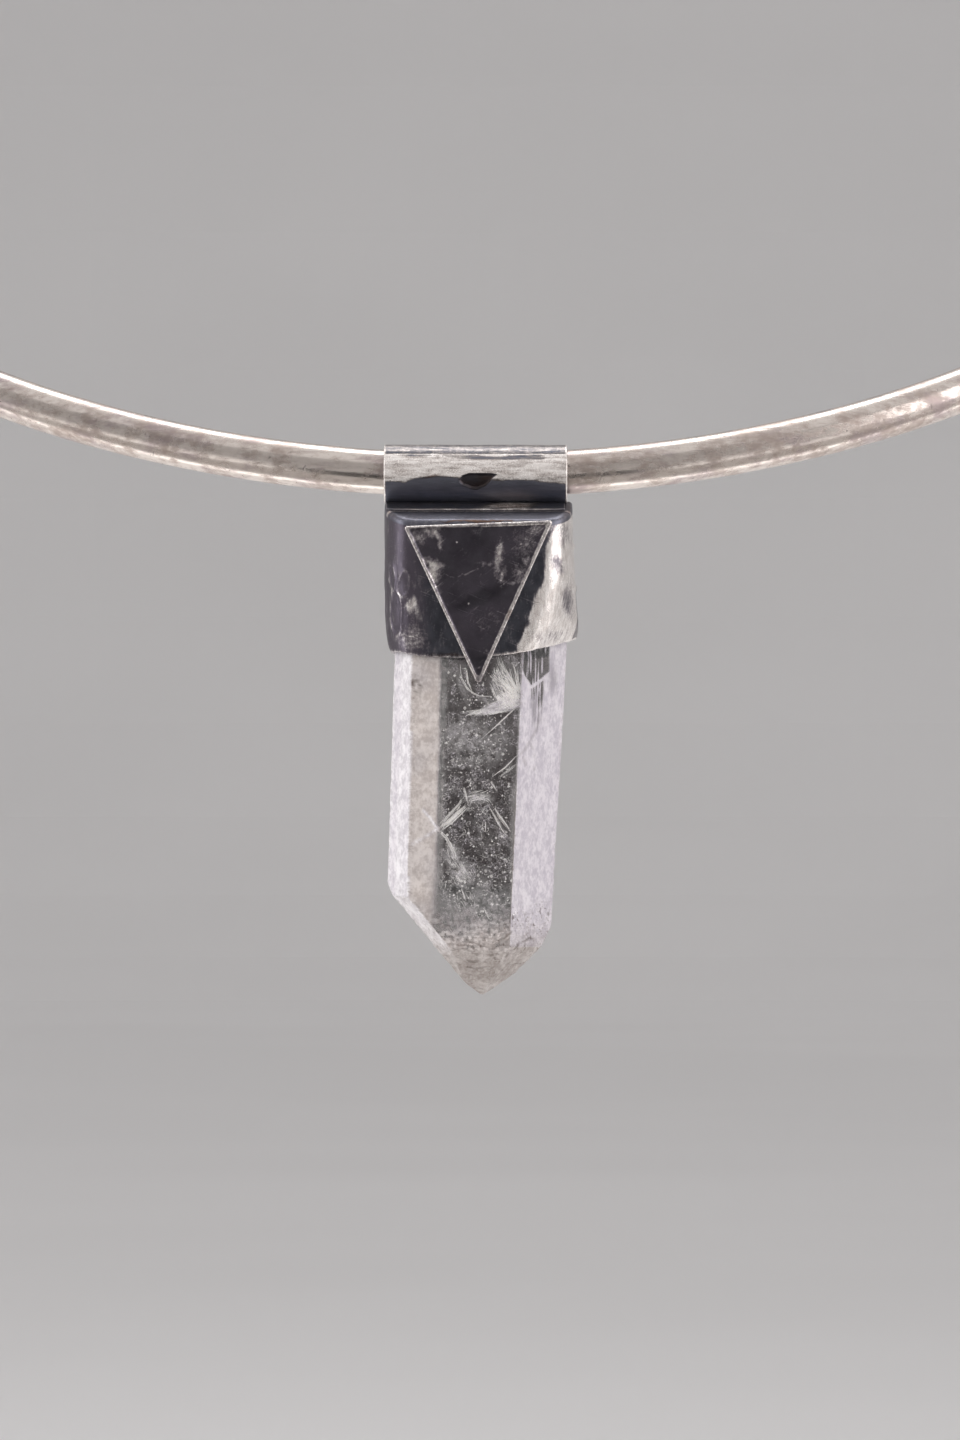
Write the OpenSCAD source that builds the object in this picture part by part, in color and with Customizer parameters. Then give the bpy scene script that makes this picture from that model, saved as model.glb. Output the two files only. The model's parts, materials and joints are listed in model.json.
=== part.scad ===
// Crystal point pendant, hanging by its tube bail on a rigid round neck ring, in millimetres.
// The front faces -Y and +Z is up. The origin is where the ring rests on the nape.

/* [Neck ring] */
// Inside diameter of the neck ring
ring_inner_d = 127; // [110:1:160]
// Diameter of the ring's round wire
wire_d = 3; // [2:0.1:4]
// Tilt of the ring from level, with its front low
ring_tilt = 42; // [20:1:55]
// Space between the wire's two ends, inside the clasp
wire_end_gap = 0.6; // [0.3:0.1:2]

/* [Clasp] */
// Length of the plain sleeve over the wire's two ends
clasp_l = 14; // [10:0.5:24]
// Wall of the sleeve
clasp_wall = 0.7; // [0.5:0.05:1.2]
// Clearance between the sleeve and the wire
clasp_clear = 0.08; // [0.05:0.01:0.15]

/* [Bail] */
// Length of the tube that the pendant hangs by
bail_l = 12.2; // [9:0.1:14.5]
// Wall of the tube
bail_wall = 0.25; // [0.2:0.01:0.4]
// Clearance between the straight bore and the curved wire, where they come closest
bail_clear = 0.1; // [0.08:0.01:0.3]
// Length of the dent in the tube's front
dent_l = 2.5; // [1.5:0.1:4]
// Height of the dent
dent_h = 1.05; // [0.6:0.05:1.4]
// Depth of the dent
dent_depth = 0.13; // [0.05:0.01:0.18]

/* [Cap] */
// Width of the cap under the bail
cap_w = 12.4; // [11:0.1:15]
// Height of the cap, from the front's top edge to the lowest point of its rim
cap_h = 9; // [7:0.1:12]
// Fall of the cap's roof, from its ridge under the bail to the front's top edge
roof_drop = 1.38; // [0.8:0.01:2]
// Thickness of the silver sheet
sheet_t = 0.27; // [0.2:0.01:0.4]
// Clearance between the sheet and the flat sides of the stone
cap_clear = 0.16; // [0.1:0.01:0.3]
// How much further the sheet stands off at the rim's loose right corner
rim_flare = 0.5; // [0:0.05:0.7]
// Rise of the rim from its lowest point to the two sides, on average
rim_rise = 0.8; // [0:0.05:1.2]
// Further rise of the rim on the right side, and as much less on the left
rim_skew = 0.3; // [0:0.05:0.6]

/* [Plate] */
// Width of the three-cornered plate's top edge
plate_w = 9.9; // [8:0.1:11]
// Height of the plate, down to where its two sides would meet
plate_h = 11; // [8:0.1:13]
// Thickness of the plate
plate_t = 0.38; // [0.25:0.01:0.6]
// Radius of the plate's top corners
plate_corner_r = 0.15; // [0.1:0.05:0.4]
// Radius of the plate's lower tip
plate_tip_r = 0.2; // [0.1:0.05:0.6]

/* [Crystal] */
// Width of the stone across its side edges
crystal_w = 11.2; // [9:0.1:12]
// Depth of the stone from its front face to its back face
crystal_d = 8.1; // [6:0.1:10]
// Length of the stone that shows, from the cap's rim to the point
crystal_show_l = 22.6; // [15:0.1:40]
// Length of the stone that the cap hides
crystal_root_l = 8.1; // [5:0.1:8.1]
// Lean of the stone, with its point to the left
crystal_lean = 2.6; // [0:0.1:3]
// Angle between the stone's long axis and the faces of its point
point_slant = 38.2; // [30:0.1:50]

/* [Hidden] */

// Sizes that follow from the ones above
wire_r = wire_d / 2;
ring_r = ring_inner_d / 2 + wire_r;
sleeve_bore_r = wire_r + clasp_clear;
sleeve_r = sleeve_bore_r + clasp_wall;
// The wire's curve rises this much between the middle and the ends of the bail
bail_sagitta = ring_r - sqrt(pow(ring_r, 2) - pow(bail_l / 2, 2));
bail_bore_r = wire_r + bail_clear + bail_sagitta / 2;
bail_r = bail_bore_r + bail_wall;
// From the origin to the bail's axis, measured in the ring's tilted plane
bail_reach = 2 * ring_r - sleeve_r - bail_sagitta / 2;

// Heights below the bail's axis
ridge_z = -bail_r + bail_wall / 2;
cap_top_z = ridge_z - roof_drop;
rim_z = cap_top_z - cap_h;
// The cap's front and back stand this far from the bail's axis
cap_depth = crystal_d / 2 + cap_clear + sheet_t;
roof_slope = roof_drop / cap_depth;
cap_x = 0.016 * cap_w;

// Six side faces of the stone, each with the end face below it, counted anticlockwise from the front.
// facing: the way the face looks, in degrees from +X
// off_w, off_d: how far it stands from the point's axis at the rim, as shares of the width and depth
// flare: its lean away from the axis going up, in degrees
// end_off: how far its end face passes outside the point, as a share of the width
FACING = 0;
OFF_W = 1;
OFF_D = 2;
FLARE = 3;
END_OFF = 4;
STONE_FACES = [
    [-90, 0, 0.306, 0, 0],
    [-30, 0.242, 0, 0, 0],
    [30, 0.478, 0, 1.2, 0.11],
    [90, 0, 0.694, 0, 0],
    [150, 0.512, 0, 0, 0],
    [210, 0.551, 0, 1.4, 0.063],
];
// The point's axis at the rim, right of the bail's middle and in front of it
stone_x = 0.13 * crystal_w;
stone_y = -crystal_d / 2 + STONE_FACES[0][OFF_D] * crystal_d;

// The cap's cross-section is bounded by eight flats. Six follow the stone's faces and two face sideways.
// facing: the way the flat looks, in degrees from +X
// stone_face: the row of the stone's face that it follows; -1 for none
// fullness: how far it stands off that face under the bail, as a share of the stone's width
// stand_off: its clearance at the rim, in units of the cap's clearance
// flared: its share of the flare
STONE_FACE = 1;
FULLNESS = 2;
STAND_OFF = 3;
FLARED = 4;
CAP_FLATS = [
    [-90, 0, 0, 1, 0],
    [-30, 1, 0.125, 1, 0.6],
    [0, -1, 0, 1, 1],
    [30, 2, 0.01, 1.5, 1],
    [90, 3, 0, 1, 0],
    [150, 4, 0.22, 1, 0],
    [180, -1, 0, 2, 0],
    [210, 5, 0.035, 1.4, 0],
];
// How sharply the flats meet
CORNER_POWER = 60;
// How late the cap's section turns from the one under the bail to the one at the rim, and flares
FLARE_POWER = 3.2;
CAP_SIDES = 96;
CAP_LEVELS = 6;

// Corners of the plate as shares of its width and height, from its upper right corner's level
PLATE_CORNERS = [[-0.5, -0.035], [0, -1], [0.5, 0]];
CORNER_STEPS = 6;

BIG = 80;
ROUND = 96;

function mix(a, b, t) = a + (b - a) * t;
function heading(angle) = [cos(angle), sin(angle)];

// Distance of one of the stone's side faces from the point's axis, level with the rim
function face_off(face) = face[OFF_W] * crystal_w + face[OFF_D] * crystal_d;

// The same from the cap's middle, at a height above the rim
function face_from_cap(face, up) =
    face_off(face) + up * tan(face[FLARE])
        + heading(face[FACING]) * [stone_x - cap_x + up * tan(crystal_lean), stone_y];

// Reach of the stone's right or left edge from the cap's middle, at the rim
function stone_reach(side) =
    let (pair = side > 0 ? [STONE_FACES[1], STONE_FACES[2]] : [STONE_FACES[4], STONE_FACES[5]])
    (face_off(pair[0]) + face_off(pair[1])) / (2 * cos(30)) + side * (stone_x - cap_x);

// Distance of one of the cap's flats from its middle, from t = 0 under the bail to t = 1 at the rim
function flat_off(flat, t) =
    flat[STONE_FACE] < 0
        ? mix(cap_w / 2, stone_reach(cos(flat[FACING])) + wall_off(flat), t) + flare(flat, t)
        : mix(
            face_from_cap(STONE_FACES[flat[STONE_FACE]], cap_h)
                + cap_clear + sheet_t + flat[FULLNESS] * crystal_w,
            face_from_cap(STONE_FACES[flat[STONE_FACE]], 0) + wall_off(flat),
            pow(t, FLARE_POWER)
        ) + flare(flat, t);
function wall_off(flat) = flat[STAND_OFF] * cap_clear + sheet_t;
function flare(flat, t) = flat[FLARED] * rim_flare * pow(t, FLARE_POWER);

// Radius of the cap in one direction, rounded where two flats meet
function cap_radius(angle, t, inset) =
    pow(
        sum([
            for (flat = CAP_FLATS)
                pow(max(0, cos(angle - flat[FACING])) / (flat_off(flat, t) - inset), CORNER_POWER)
        ]),
        -1 / CORNER_POWER
    );
function sum(list, i = 0) = i == len(list) ? 0 : list[i] + sum(list, i + 1);

function roof_z(y) = ridge_z - roof_slope * abs(y);
function rim_edge_z(x) = rim_z + rim_rise * pow(2 * x / cap_w, 2) + rim_skew * 2 * x / cap_w;

// One point of the cap's wall; a point of its inner side is inset by the sheet's thickness
function cap_point(angle, t, inset) =
    let (
        here = cap_radius(angle, t, inset) * heading(angle),
        top = cap_radius(angle, 0, inset) * heading(angle),
        rim = cap_radius(angle, 1, inset) * heading(angle)
    )
    [cap_x + here[0], here[1], mix(roof_z(top[1]) - inset, rim_edge_z(cap_x + rim[0]), t)];

// Points along the arc that rounds corner b of the outline a, b, c
function rounded_corner(a, b, c, r) =
    let (
        to_a = (a - b) / norm(a - b),
        to_c = (c - b) / norm(c - b),
        half = acos(to_a * to_c) / 2,
        middle = b + (to_a + to_c) / norm(to_a + to_c) * r / sin(half),
        from = b + to_a * r / tan(half) - middle,
        towards = b + to_c * r / tan(half) - middle,
        start = atan2(from[1], from[0]),
        turn = (atan2(towards[1], towards[0]) - start + 540) % 360 - 180
    )
    [for (i = [0:CORNER_STEPS]) middle + r * heading(start + turn * i / CORNER_STEPS)];

// Puts its children in the ring's own plane, with the ring's centre at their origin
module in_ring_plane() {
    rotate([ring_tilt, 0, 0]) translate([0, -(ring_r - sleeve_r), 0]) children();
}

// Puts its children where the bail's axis is their origin
module at_bail() {
    translate([0, -bail_reach * cos(ring_tilt), -bail_reach * sin(ring_tilt)]) children();
}

// Sweeps a round section over an arc of the ring that is centred on the nape or faces it
module ring_arc(middle, length_angle) {
    rotate([0, 0, middle - length_angle / 2])
        rotate_extrude(angle = length_angle, $fn = 2 * ROUND)
            translate([ring_r, 0])
                children();
}

module neck_ring() {
    gap_angle = wire_end_gap / ring_r * 180 / PI;
    color("silver")
        in_ring_plane()
            ring_arc(-90, 360 - gap_angle)
                circle(wire_r, $fn = ROUND);
}

module clasp() {
    sleeve_angle = clasp_l / ring_r * 180 / PI;
    color("silver")
        in_ring_plane()
            ring_arc(90, sleeve_angle)
                difference() {
                    circle(sleeve_r, $fn = ROUND);
                    circle(sleeve_bore_r, $fn = ROUND);
                }
}

// Rolled tube with a shallow pointed dent in its front
module bail() {
    dent_turn = 14;
    difference() {
        rotate([0, 90, 0]) cylinder(bail_l, r = bail_r, center = true, $fn = ROUND);
        rotate([0, 90, 0]) cylinder(bail_l + 1, r = bail_bore_r, center = true, $fn = ROUND);
        rotate([dent_turn, 0, 0])
            translate([0.01 * bail_l, -bail_r + dent_depth, 0])
                rotate([90, 0, 0])
                    linear_extrude(bail_wall)
                        dent_outline();
    }
}

// Half of an almond: a level top edge, a round belly and a pointed right end
module dent_outline() {
    polygon([
        [dent_l / 2, dent_h / 2],
        [-dent_l * 0.2, dent_h / 2],
        for (angle = [100:20:280])
            [-dent_l * 0.2 + dent_l * 0.3 * cos(angle), dent_h / 2 * sin(angle)],
        [dent_l * 0.22, -dent_h * 0.22],
    ]);
}

// Sheet sleeve round the top of the stone, closed by a roof whose ridge lies along the bail
module cap() {
    outer_start = 1;
    rows = CAP_LEVELS + 1;
    inner_start = outer_start + rows * CAP_SIDES;
    roof_under = inner_start + rows * CAP_SIDES;
    function at(start, row, side) = start + row * CAP_SIDES + side % CAP_SIDES;
    points = [
        [cap_x, 0, ridge_z],
        for (inset = [0, sheet_t], row = [0:CAP_LEVELS], side = [0:CAP_SIDES - 1])
            cap_point(360 * side / CAP_SIDES, row / CAP_LEVELS, inset),
        [cap_x, 0, ridge_z - sheet_t],
    ];
    faces = [
        for (side = [0:CAP_SIDES - 1])
            [0, at(outer_start, 0, side + 1), at(outer_start, 0, side)],
        for (row = [0:CAP_LEVELS - 1], side = [0:CAP_SIDES - 1])
            each [
                [at(outer_start, row, side), at(outer_start, row, side + 1),
                    at(outer_start, row + 1, side)],
                [at(outer_start, row, side + 1), at(outer_start, row + 1, side + 1),
                    at(outer_start, row + 1, side)],
            ],
        for (side = [0:CAP_SIDES - 1])
            each [
                [at(outer_start, CAP_LEVELS, side), at(outer_start, CAP_LEVELS, side + 1),
                    at(inner_start, CAP_LEVELS, side)],
                [at(outer_start, CAP_LEVELS, side + 1), at(inner_start, CAP_LEVELS, side + 1),
                    at(inner_start, CAP_LEVELS, side)],
            ],
        for (row = [0:CAP_LEVELS - 1], side = [0:CAP_SIDES - 1])
            each [
                [at(inner_start, row, side), at(inner_start, row + 1, side),
                    at(inner_start, row, side + 1)],
                [at(inner_start, row, side + 1), at(inner_start, row + 1, side),
                    at(inner_start, row + 1, side + 1)],
            ],
        for (side = [0:CAP_SIDES - 1])
            [roof_under, at(inner_start, 0, side), at(inner_start, 0, side + 1)],
    ];
    polyhedron(points, faces);
}

// Three-cornered plate on the cap's front, sunk by half the sheet's thickness into the solder
module plate() {
    corners = [for (corner = PLATE_CORNERS) [corner[0] * plate_w, corner[1] * plate_h]];
    outline = [
        each rounded_corner(corners[2], corners[0], corners[1], plate_corner_r),
        each rounded_corner(corners[0], corners[1], corners[2], plate_tip_r),
        each rounded_corner(corners[1], corners[2], corners[0], plate_corner_r),
    ];
    translate([cap_x, -cap_depth + sheet_t / 2, cap_top_z])
        rotate([90, 0, 0])
            linear_extrude(plate_t + sheet_t / 2)
                polygon(outline);
}

// Bail, cap and plate are soldered into one piece
module setting() {
    color("gray")
        at_bail() {
            bail();
            cap();
            plate();
        }
}

// Everything behind a plane that looks towards facing, off from the axis and leaning outwards going up
module behind_plane(facing, off, lean) {
    rotate([0, 0, facing])
        translate([off, 0, 0])
            rotate([0, lean, 0])
                translate([-BIG, -BIG / 2, -BIG / 2])
                    cube(BIG);
}

// Six-sided prism with a six-faced point, leaning to the left
module crystal() {
    color("gainsboro", 0.8)
        at_bail()
            translate([0, 0, rim_z])
                intersection() {
                    root_space();
                    translate([stone_x, stone_y, 0])
                        rotate([0, crystal_lean, 0])
                            intersection() {
                                translate([-BIG / 2, -BIG / 2, crystal_root_l - BIG]) cube(BIG);
                                stone_sides();
                                translate([0, 0, -crystal_show_l]) stone_end();
                            }
                }
}

// Room for the stone's hidden root between the cap's two sides, and everything below the rim
module root_space() {
    root_h = cap_h + roof_drop;
    root_top = cap_w / 2 - sheet_t - cap_clear;
    translate([cap_x, BIG / 2, 0])
        rotate([90, 0, 0])
            linear_extrude(BIG)
                polygon([
                    [-BIG / 2, -BIG],
                    [BIG / 2, -BIG],
                    [BIG / 2, 0],
                    [stone_reach(1), 0],
                    [root_top, root_h],
                    [-root_top, root_h],
                    [-stone_reach(-1), 0],
                    [-BIG / 2, 0],
                ]);
}

// The stone's six side faces, with the rim's level at z = 0
module stone_sides() {
    intersection_for (face = STONE_FACES)
        behind_plane(face[FACING], face_off(face), face[FLARE]);
}

// The six faces of the stone's end, with the point at the origin
module stone_end() {
    intersection_for (face = STONE_FACES)
        behind_plane(face[FACING], face[END_OFF] * crystal_w, point_slant);
}

neck_ring();
clasp();
setting();
crystal();
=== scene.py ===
import json
import math
from functools import reduce
from itertools import combinations

import bmesh
import bpy
import numpy as np
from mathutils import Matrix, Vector


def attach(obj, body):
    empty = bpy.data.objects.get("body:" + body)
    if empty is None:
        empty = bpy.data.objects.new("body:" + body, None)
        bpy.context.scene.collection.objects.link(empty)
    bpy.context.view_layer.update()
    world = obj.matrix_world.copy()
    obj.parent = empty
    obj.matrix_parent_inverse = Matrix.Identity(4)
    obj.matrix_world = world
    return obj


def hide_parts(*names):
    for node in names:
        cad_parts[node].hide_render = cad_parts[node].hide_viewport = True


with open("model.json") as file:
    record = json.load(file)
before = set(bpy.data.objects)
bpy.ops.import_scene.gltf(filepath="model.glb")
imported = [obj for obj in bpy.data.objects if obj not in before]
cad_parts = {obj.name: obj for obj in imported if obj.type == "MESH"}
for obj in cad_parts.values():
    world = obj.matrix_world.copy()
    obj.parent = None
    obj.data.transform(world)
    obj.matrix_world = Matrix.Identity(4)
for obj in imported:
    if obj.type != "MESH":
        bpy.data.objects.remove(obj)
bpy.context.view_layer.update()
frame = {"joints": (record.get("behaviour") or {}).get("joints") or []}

MM = 0.001
BAIL_AXIS = np.array(frame["joints"][0]["pos_m"])

# Sizes of the solids that the pieces stand for
RING_R = 65.0
WIRE_R = 1.5
RING_TILT = 42
SLEEVE_BORE_R = 1.58
SLEEVE_R = 2.28
CLASP_L = 14.0
WIRE_GAP = 0.6
BAIL_L = 12.2
BAIL_R = 1.9934
BAIL_BORE_R = 1.7434
CAP_W = 12.4
CAP_H = 9.0
ROOF_DROP = 1.38
SHEET = 0.27
CAP_CLEAR = 0.16
RIM_FLARE = 0.5
RIM_RISE = 0.8
RIM_SKEW = 0.3
PLATE_W = 9.9
PLATE_H = 11.0
PLATE_T = 0.38
STONE_W = 11.2
STONE_D = 8.1
STONE_SHOW = 22.6
STONE_ROOT = 8.1
STONE_LEAN = math.radians(2.6)
POINT_SLANT = math.radians(38.2)

RIDGE_Z = -1.868
CAP_TOP_Z = RIDGE_Z - ROOF_DROP
RIM_Z = CAP_TOP_Z - CAP_H
CAP_DEPTH = STONE_D / 2 + CAP_CLEAR + SHEET
ROOF_SLOPE = ROOF_DROP / CAP_DEPTH
CAP_X = 0.016 * CAP_W
STONE_X = 0.13 * STONE_W
# Each side face of the stone: the way it looks in degrees, its distance from the point's axis,
# its flare in degrees, and how far its end face passes outside the point
STONE_FACES = [
    (-90, 0.306 * STONE_D, 0, 0),
    (-30, 0.242 * STONE_W, 0, 0),
    (30, 0.478 * STONE_W, 1.2, 0.11 * STONE_W),
    (90, 0.694 * STONE_D, 0, 0),
    (150, 0.512 * STONE_W, 0, 0),
    (210, 0.551 * STONE_W, 1.4, 0.063 * STONE_W),
]
FRONT, FRONT_RIGHT, BACK_RIGHT, BACK, BACK_LEFT, FRONT_LEFT = range(6)
STONE_Y = -STONE_D / 2 + STONE_FACES[FRONT][1]
FRONT_FACE_Y = STONE_Y - STONE_FACES[FRONT][1]
# Each flat of the cap: facing, the stone's face that it follows, fullness, stand-off, share of the flare
CAP_FLATS = [
    (-90, 0, 0, 1, 0),
    (-30, 1, 0.125, 1, 0.6),
    (0, None, 0, 1, 1),
    (30, 2, 0.01, 1.5, 1),
    (90, 3, 0, 1, 0),
    (150, 4, 0.22, 1, 0),
    (180, None, 0, 2, 0),
    (210, 5, 0.035, 1.4, 0),
]
CORNER_POWER = 34
FLARE_POWER = 3.2


# Noise and masks

def value_noise(points, size, seed=0):
    """Smooth noise from -1 to 1 that varies over about size millimetres."""
    place = np.asarray(points, float) / size + 19.7 * seed + 500
    cell = np.floor(place).astype(np.int64)
    part = place - cell
    part = part * part * (3 - 2 * part)
    total = np.zeros(place.shape[:-1])
    for corner in np.ndindex(2, 2, 2):
        at = cell + np.array(corner)
        mixed = at[..., 0] * 73856093 ^ at[..., 1] * 19349663 ^ at[..., 2] * 83492791
        mixed = (mixed ^ mixed >> 13) * 1274126177 & 0xFFFFFFFF
        mixed = (mixed ^ mixed >> 15) & 0xFFFF
        share = np.where(np.array(corner) == 1, part, 1 - part).prod(axis=-1)
        total += share * (mixed / 32767.5 - 1)
    return total


def rough_noise(points, size, seed=0, octaves=3):
    """Value noise with finer layers on top."""
    layers = [value_noise(points, size / 2**n, seed + n) / 2**n for n in range(octaves)]
    return sum(layers) / (2 - 0.5 ** (octaves - 1))


def ramp(value, low, high):
    """0 below low, 1 above high and smooth between."""
    t = np.clip((np.asarray(value, float) - low) / (high - low), 0, 1)
    return t * t * (3 - 2 * t)


def bell(value, width):
    """1 where value is 0, falling to nothing over about twice the width."""
    return np.exp(-((value / width) ** 2))


def highest(*values):
    return reduce(np.maximum, values)


def curve(start, corner, end, t):
    """A place on the curve that leaves start towards corner and comes from there to end."""
    return (1 - t) ** 2 * start + 2 * t * (1 - t) * corner + t**2 * end


def round_lip(from_end, lip):
    """How far an edge rounded with radius lip falls back, at a distance from its end."""
    return lip - np.sqrt(np.clip(lip**2 - (lip - from_end).clip(0, lip) ** 2, 0, None))


def oval(x, z, at, size, turn):
    """How far out each point lies in a turned oval on the front: 1 on its edge."""
    turn = math.radians(turn)
    dx = x - at[0]
    dz = z - at[1]
    along = (dx * math.cos(turn) + dz * math.sin(turn)) / size[0]
    across = (dz * math.cos(turn) - dx * math.sin(turn)) / size[1]
    return np.hypot(along, across)


def spot(x, z, at, size, turn=0, soft=0.35, ragged=0.0):
    """An oval mask: 1 inside, 0 outside, with a soft edge."""
    return 1 - ramp(oval(x, z, at, size, turn) + ragged, 1 - soft, 1 + soft)


def patches(x, z, rows, ragged):
    """Oval masks, each with its middle, half sizes, turn and strength; the strongest counts."""
    return highest(*(share * spot(x, z, at, size, turn, 0.8, ragged) for at, size, turn, share in rows))


def line_distance(x, z, path):
    """Distance on the front from each point to a path of straight runs."""
    nearest = np.full(np.shape(x), 1e9)
    for (x0, z0), (x1, z1) in zip(path, path[1:]):
        run = (x1 - x0, z1 - z0)
        share = ((x - x0) * run[0] + (z - z0) * run[1]) / (run[0] ** 2 + run[1] ** 2)
        share = np.clip(share, 0, 1)
        nearest = np.minimum(nearest, np.hypot(x - x0 - share * run[0], z - z0 - share * run[1]))
    return nearest


def strokes(x, z, paths, near, far):
    """Lines on the front: 1 within near of any path, 0 beyond far."""
    distance = reduce(np.minimum, (line_distance(x, z, path) for path in paths))
    return 1 - ramp(distance, near, far)


# Meshes

def grid_faces(rows, cols, wrap=True, start=0):
    """Four-sided faces between rows of points; each row closes on itself if wrap."""
    row, col = np.meshgrid(np.arange(rows - 1), np.arange(cols if wrap else cols - 1), indexing="ij")
    after = (col + 1) % cols
    quads = [row * cols + col, row * cols + after, (row + 1) * cols + after, (row + 1) * cols + col]
    return (start + np.stack(quads, axis=-1).reshape(-1, 4)).tolist()


def fan_faces(tip, first, count):
    """Triangles from one point to a closed row."""
    return [(tip, first + n, first + (n + 1) % count) for n in range(count)]


def capped_faces(rows, cols):
    """Faces between closed rows, with each end drawn to a point of its own behind the last row."""
    count = rows * cols
    ends = fan_faces(count, 0, cols) + fan_faces(count + 1, count - cols, cols)
    return grid_faces(rows, cols) + ends


def shell_faces(rows, cols):
    """Faces of an outer and an inner skin of closed rows that are joined at both ends."""
    count = rows * cols
    faces = grid_faces(rows, cols) + grid_faces(rows, cols, start=count)
    for first in (0, count - cols):
        for n in range(cols):
            after = first + (n + 1) % cols
            faces.append((first + n, after, count + after, count + first + n))
    return faces


def turn_faces_out(mesh, inside_out=False):
    edit = bmesh.new()
    edit.from_mesh(mesh)
    bmesh.ops.recalc_face_normals(edit, faces=edit.faces)
    if inside_out:
        bmesh.ops.reverse_faces(edit, faces=edit.faces)
    edit.to_mesh(mesh)
    edit.free()


def add_to_scene(name, data):
    thing = bpy.data.objects.new(name, data)
    bpy.context.scene.collection.objects.link(thing)
    return thing


def add_piece(name, points, faces, body, material, nodes=(), masks=None, rest=0.0, origin=BAIL_AXIS):
    """Makes a piece from points in millimetres, with its masks, and has it ride on a body.

    A mask that is shorter than the points goes on as rest.
    """
    points = np.asarray(points, float).reshape(-1, 3) * MM
    points = points + origin
    mesh = bpy.data.meshes.new(name)
    mesh.from_pydata(points.tolist(), [], faces)
    for mask, values in (masks or {}).items():
        values = np.append(values, [rest] * (len(points) - np.size(values)))
        values = np.clip(np.asarray(values, np.float32), 0, 1)
        mesh.attributes.new(mask, "FLOAT", "POINT").data.foreach_set("value", values)
    turn_faces_out(mesh)
    mesh.shade_smooth()
    mesh.materials.append(material)
    piece = add_to_scene(name, mesh)
    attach(piece, body)
    if nodes:
        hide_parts(*nodes)
    return piece


# Materials

class Value:
    """A node's output, which adds, subtracts and multiplies like a number."""

    def __init__(self, nodes, socket):
        self.nodes = nodes
        self.socket = socket

    def __add__(self, other):
        return self.nodes.math("ADD", self, other)

    def __sub__(self, other):
        return self.nodes.math("SUBTRACT", self, other)

    def __rsub__(self, other):
        return self.nodes.math("SUBTRACT", other, self)

    def __mul__(self, other):
        return self.nodes.math("MULTIPLY", self, other)

    def __abs__(self):
        return self.nodes.math("ABSOLUTE", self)


class Nodes:
    """Short calls for the nodes of one material."""

    def __init__(self, name):
        self.material = bpy.data.materials.new(name)
        self.material.use_nodes = True
        self.tree = self.material.node_tree
        self.tree.nodes.clear()
        self.output = self.tree.nodes.new("ShaderNodeOutputMaterial")
        self.place = self.add("ShaderNodeTexCoord", output="Object")

    def put(self, socket, value):
        """Links a node's output to a socket, or sets the socket to a plain value."""
        if isinstance(value, Value):
            self.tree.links.new(value.socket, socket)
        else:
            socket.default_value = value

    def add(self, kind, inputs=None, output=0, **settings):
        node = self.tree.nodes.new(kind)
        for key, value in settings.items():
            setattr(node, key, value)
        for key, value in (inputs or {}).items():
            self.put(node.inputs[key], value)
        return Value(self, node.outputs[output])

    def mask(self, name):
        return self.add("ShaderNodeAttribute", output="Fac", attribute_name=name)

    def noise(self, size_mm, detail=3.0, rough=0.55, stretch=(1, 1, 1), turn=(0, 0, 0), distortion=0.0):
        """Noise that varies over about size_mm, drawn out by stretch along turned axes."""
        where = {"Vector": self.place, "Rotation": turn, "Scale": stretch}
        inputs = {
            "Vector": self.add("ShaderNodeMapping", where, vector_type="TEXTURE"),
            "Scale": 1 / (size_mm * MM),
            "Detail": detail,
            "Roughness": rough,
            "Distortion": distortion,
        }
        return self.add("ShaderNodeTexNoise", inputs, "Fac")

    def cells(self, size_mm):
        """Distance to the nearest of many scattered points."""
        inputs = {"Vector": self.place, "Scale": 1 / (size_mm * MM)}
        return self.add("ShaderNodeTexVoronoi", inputs, "Distance")

    def math(self, operation, a, b=0.0, clamp=False):
        return self.add("ShaderNodeMath", {0: a, 1: b}, operation=operation, use_clamp=clamp)

    def range(self, value, low, high, to_low=0.0, to_high=1.0):
        inputs = {"Value": value, "From Min": low, "From Max": high, "To Min": to_low, "To Max": to_high}
        return self.add("ShaderNodeMapRange", inputs, interpolation_type="SMOOTHSTEP")

    def mix(self, share, a, b):
        """A colour between a and b."""
        a, b = ((*value, 1) if isinstance(value, tuple) else value for value in (a, b))
        return self.add("ShaderNodeMix", {0: share, 6: a, 7: b}, 2, data_type="RGBA")

    def bump(self, height, depth_mm):
        return self.add("ShaderNodeBump", {"Height": height, "Distance": depth_mm * MM, "Strength": 1.0})

    def finish(self, inputs, volume=None):
        self.put(self.output.inputs["Surface"], self.add("ShaderNodeBsdfPrincipled", inputs))
        if volume:
            self.put(self.output.inputs["Volume"], volume)
        return self.material


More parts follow.
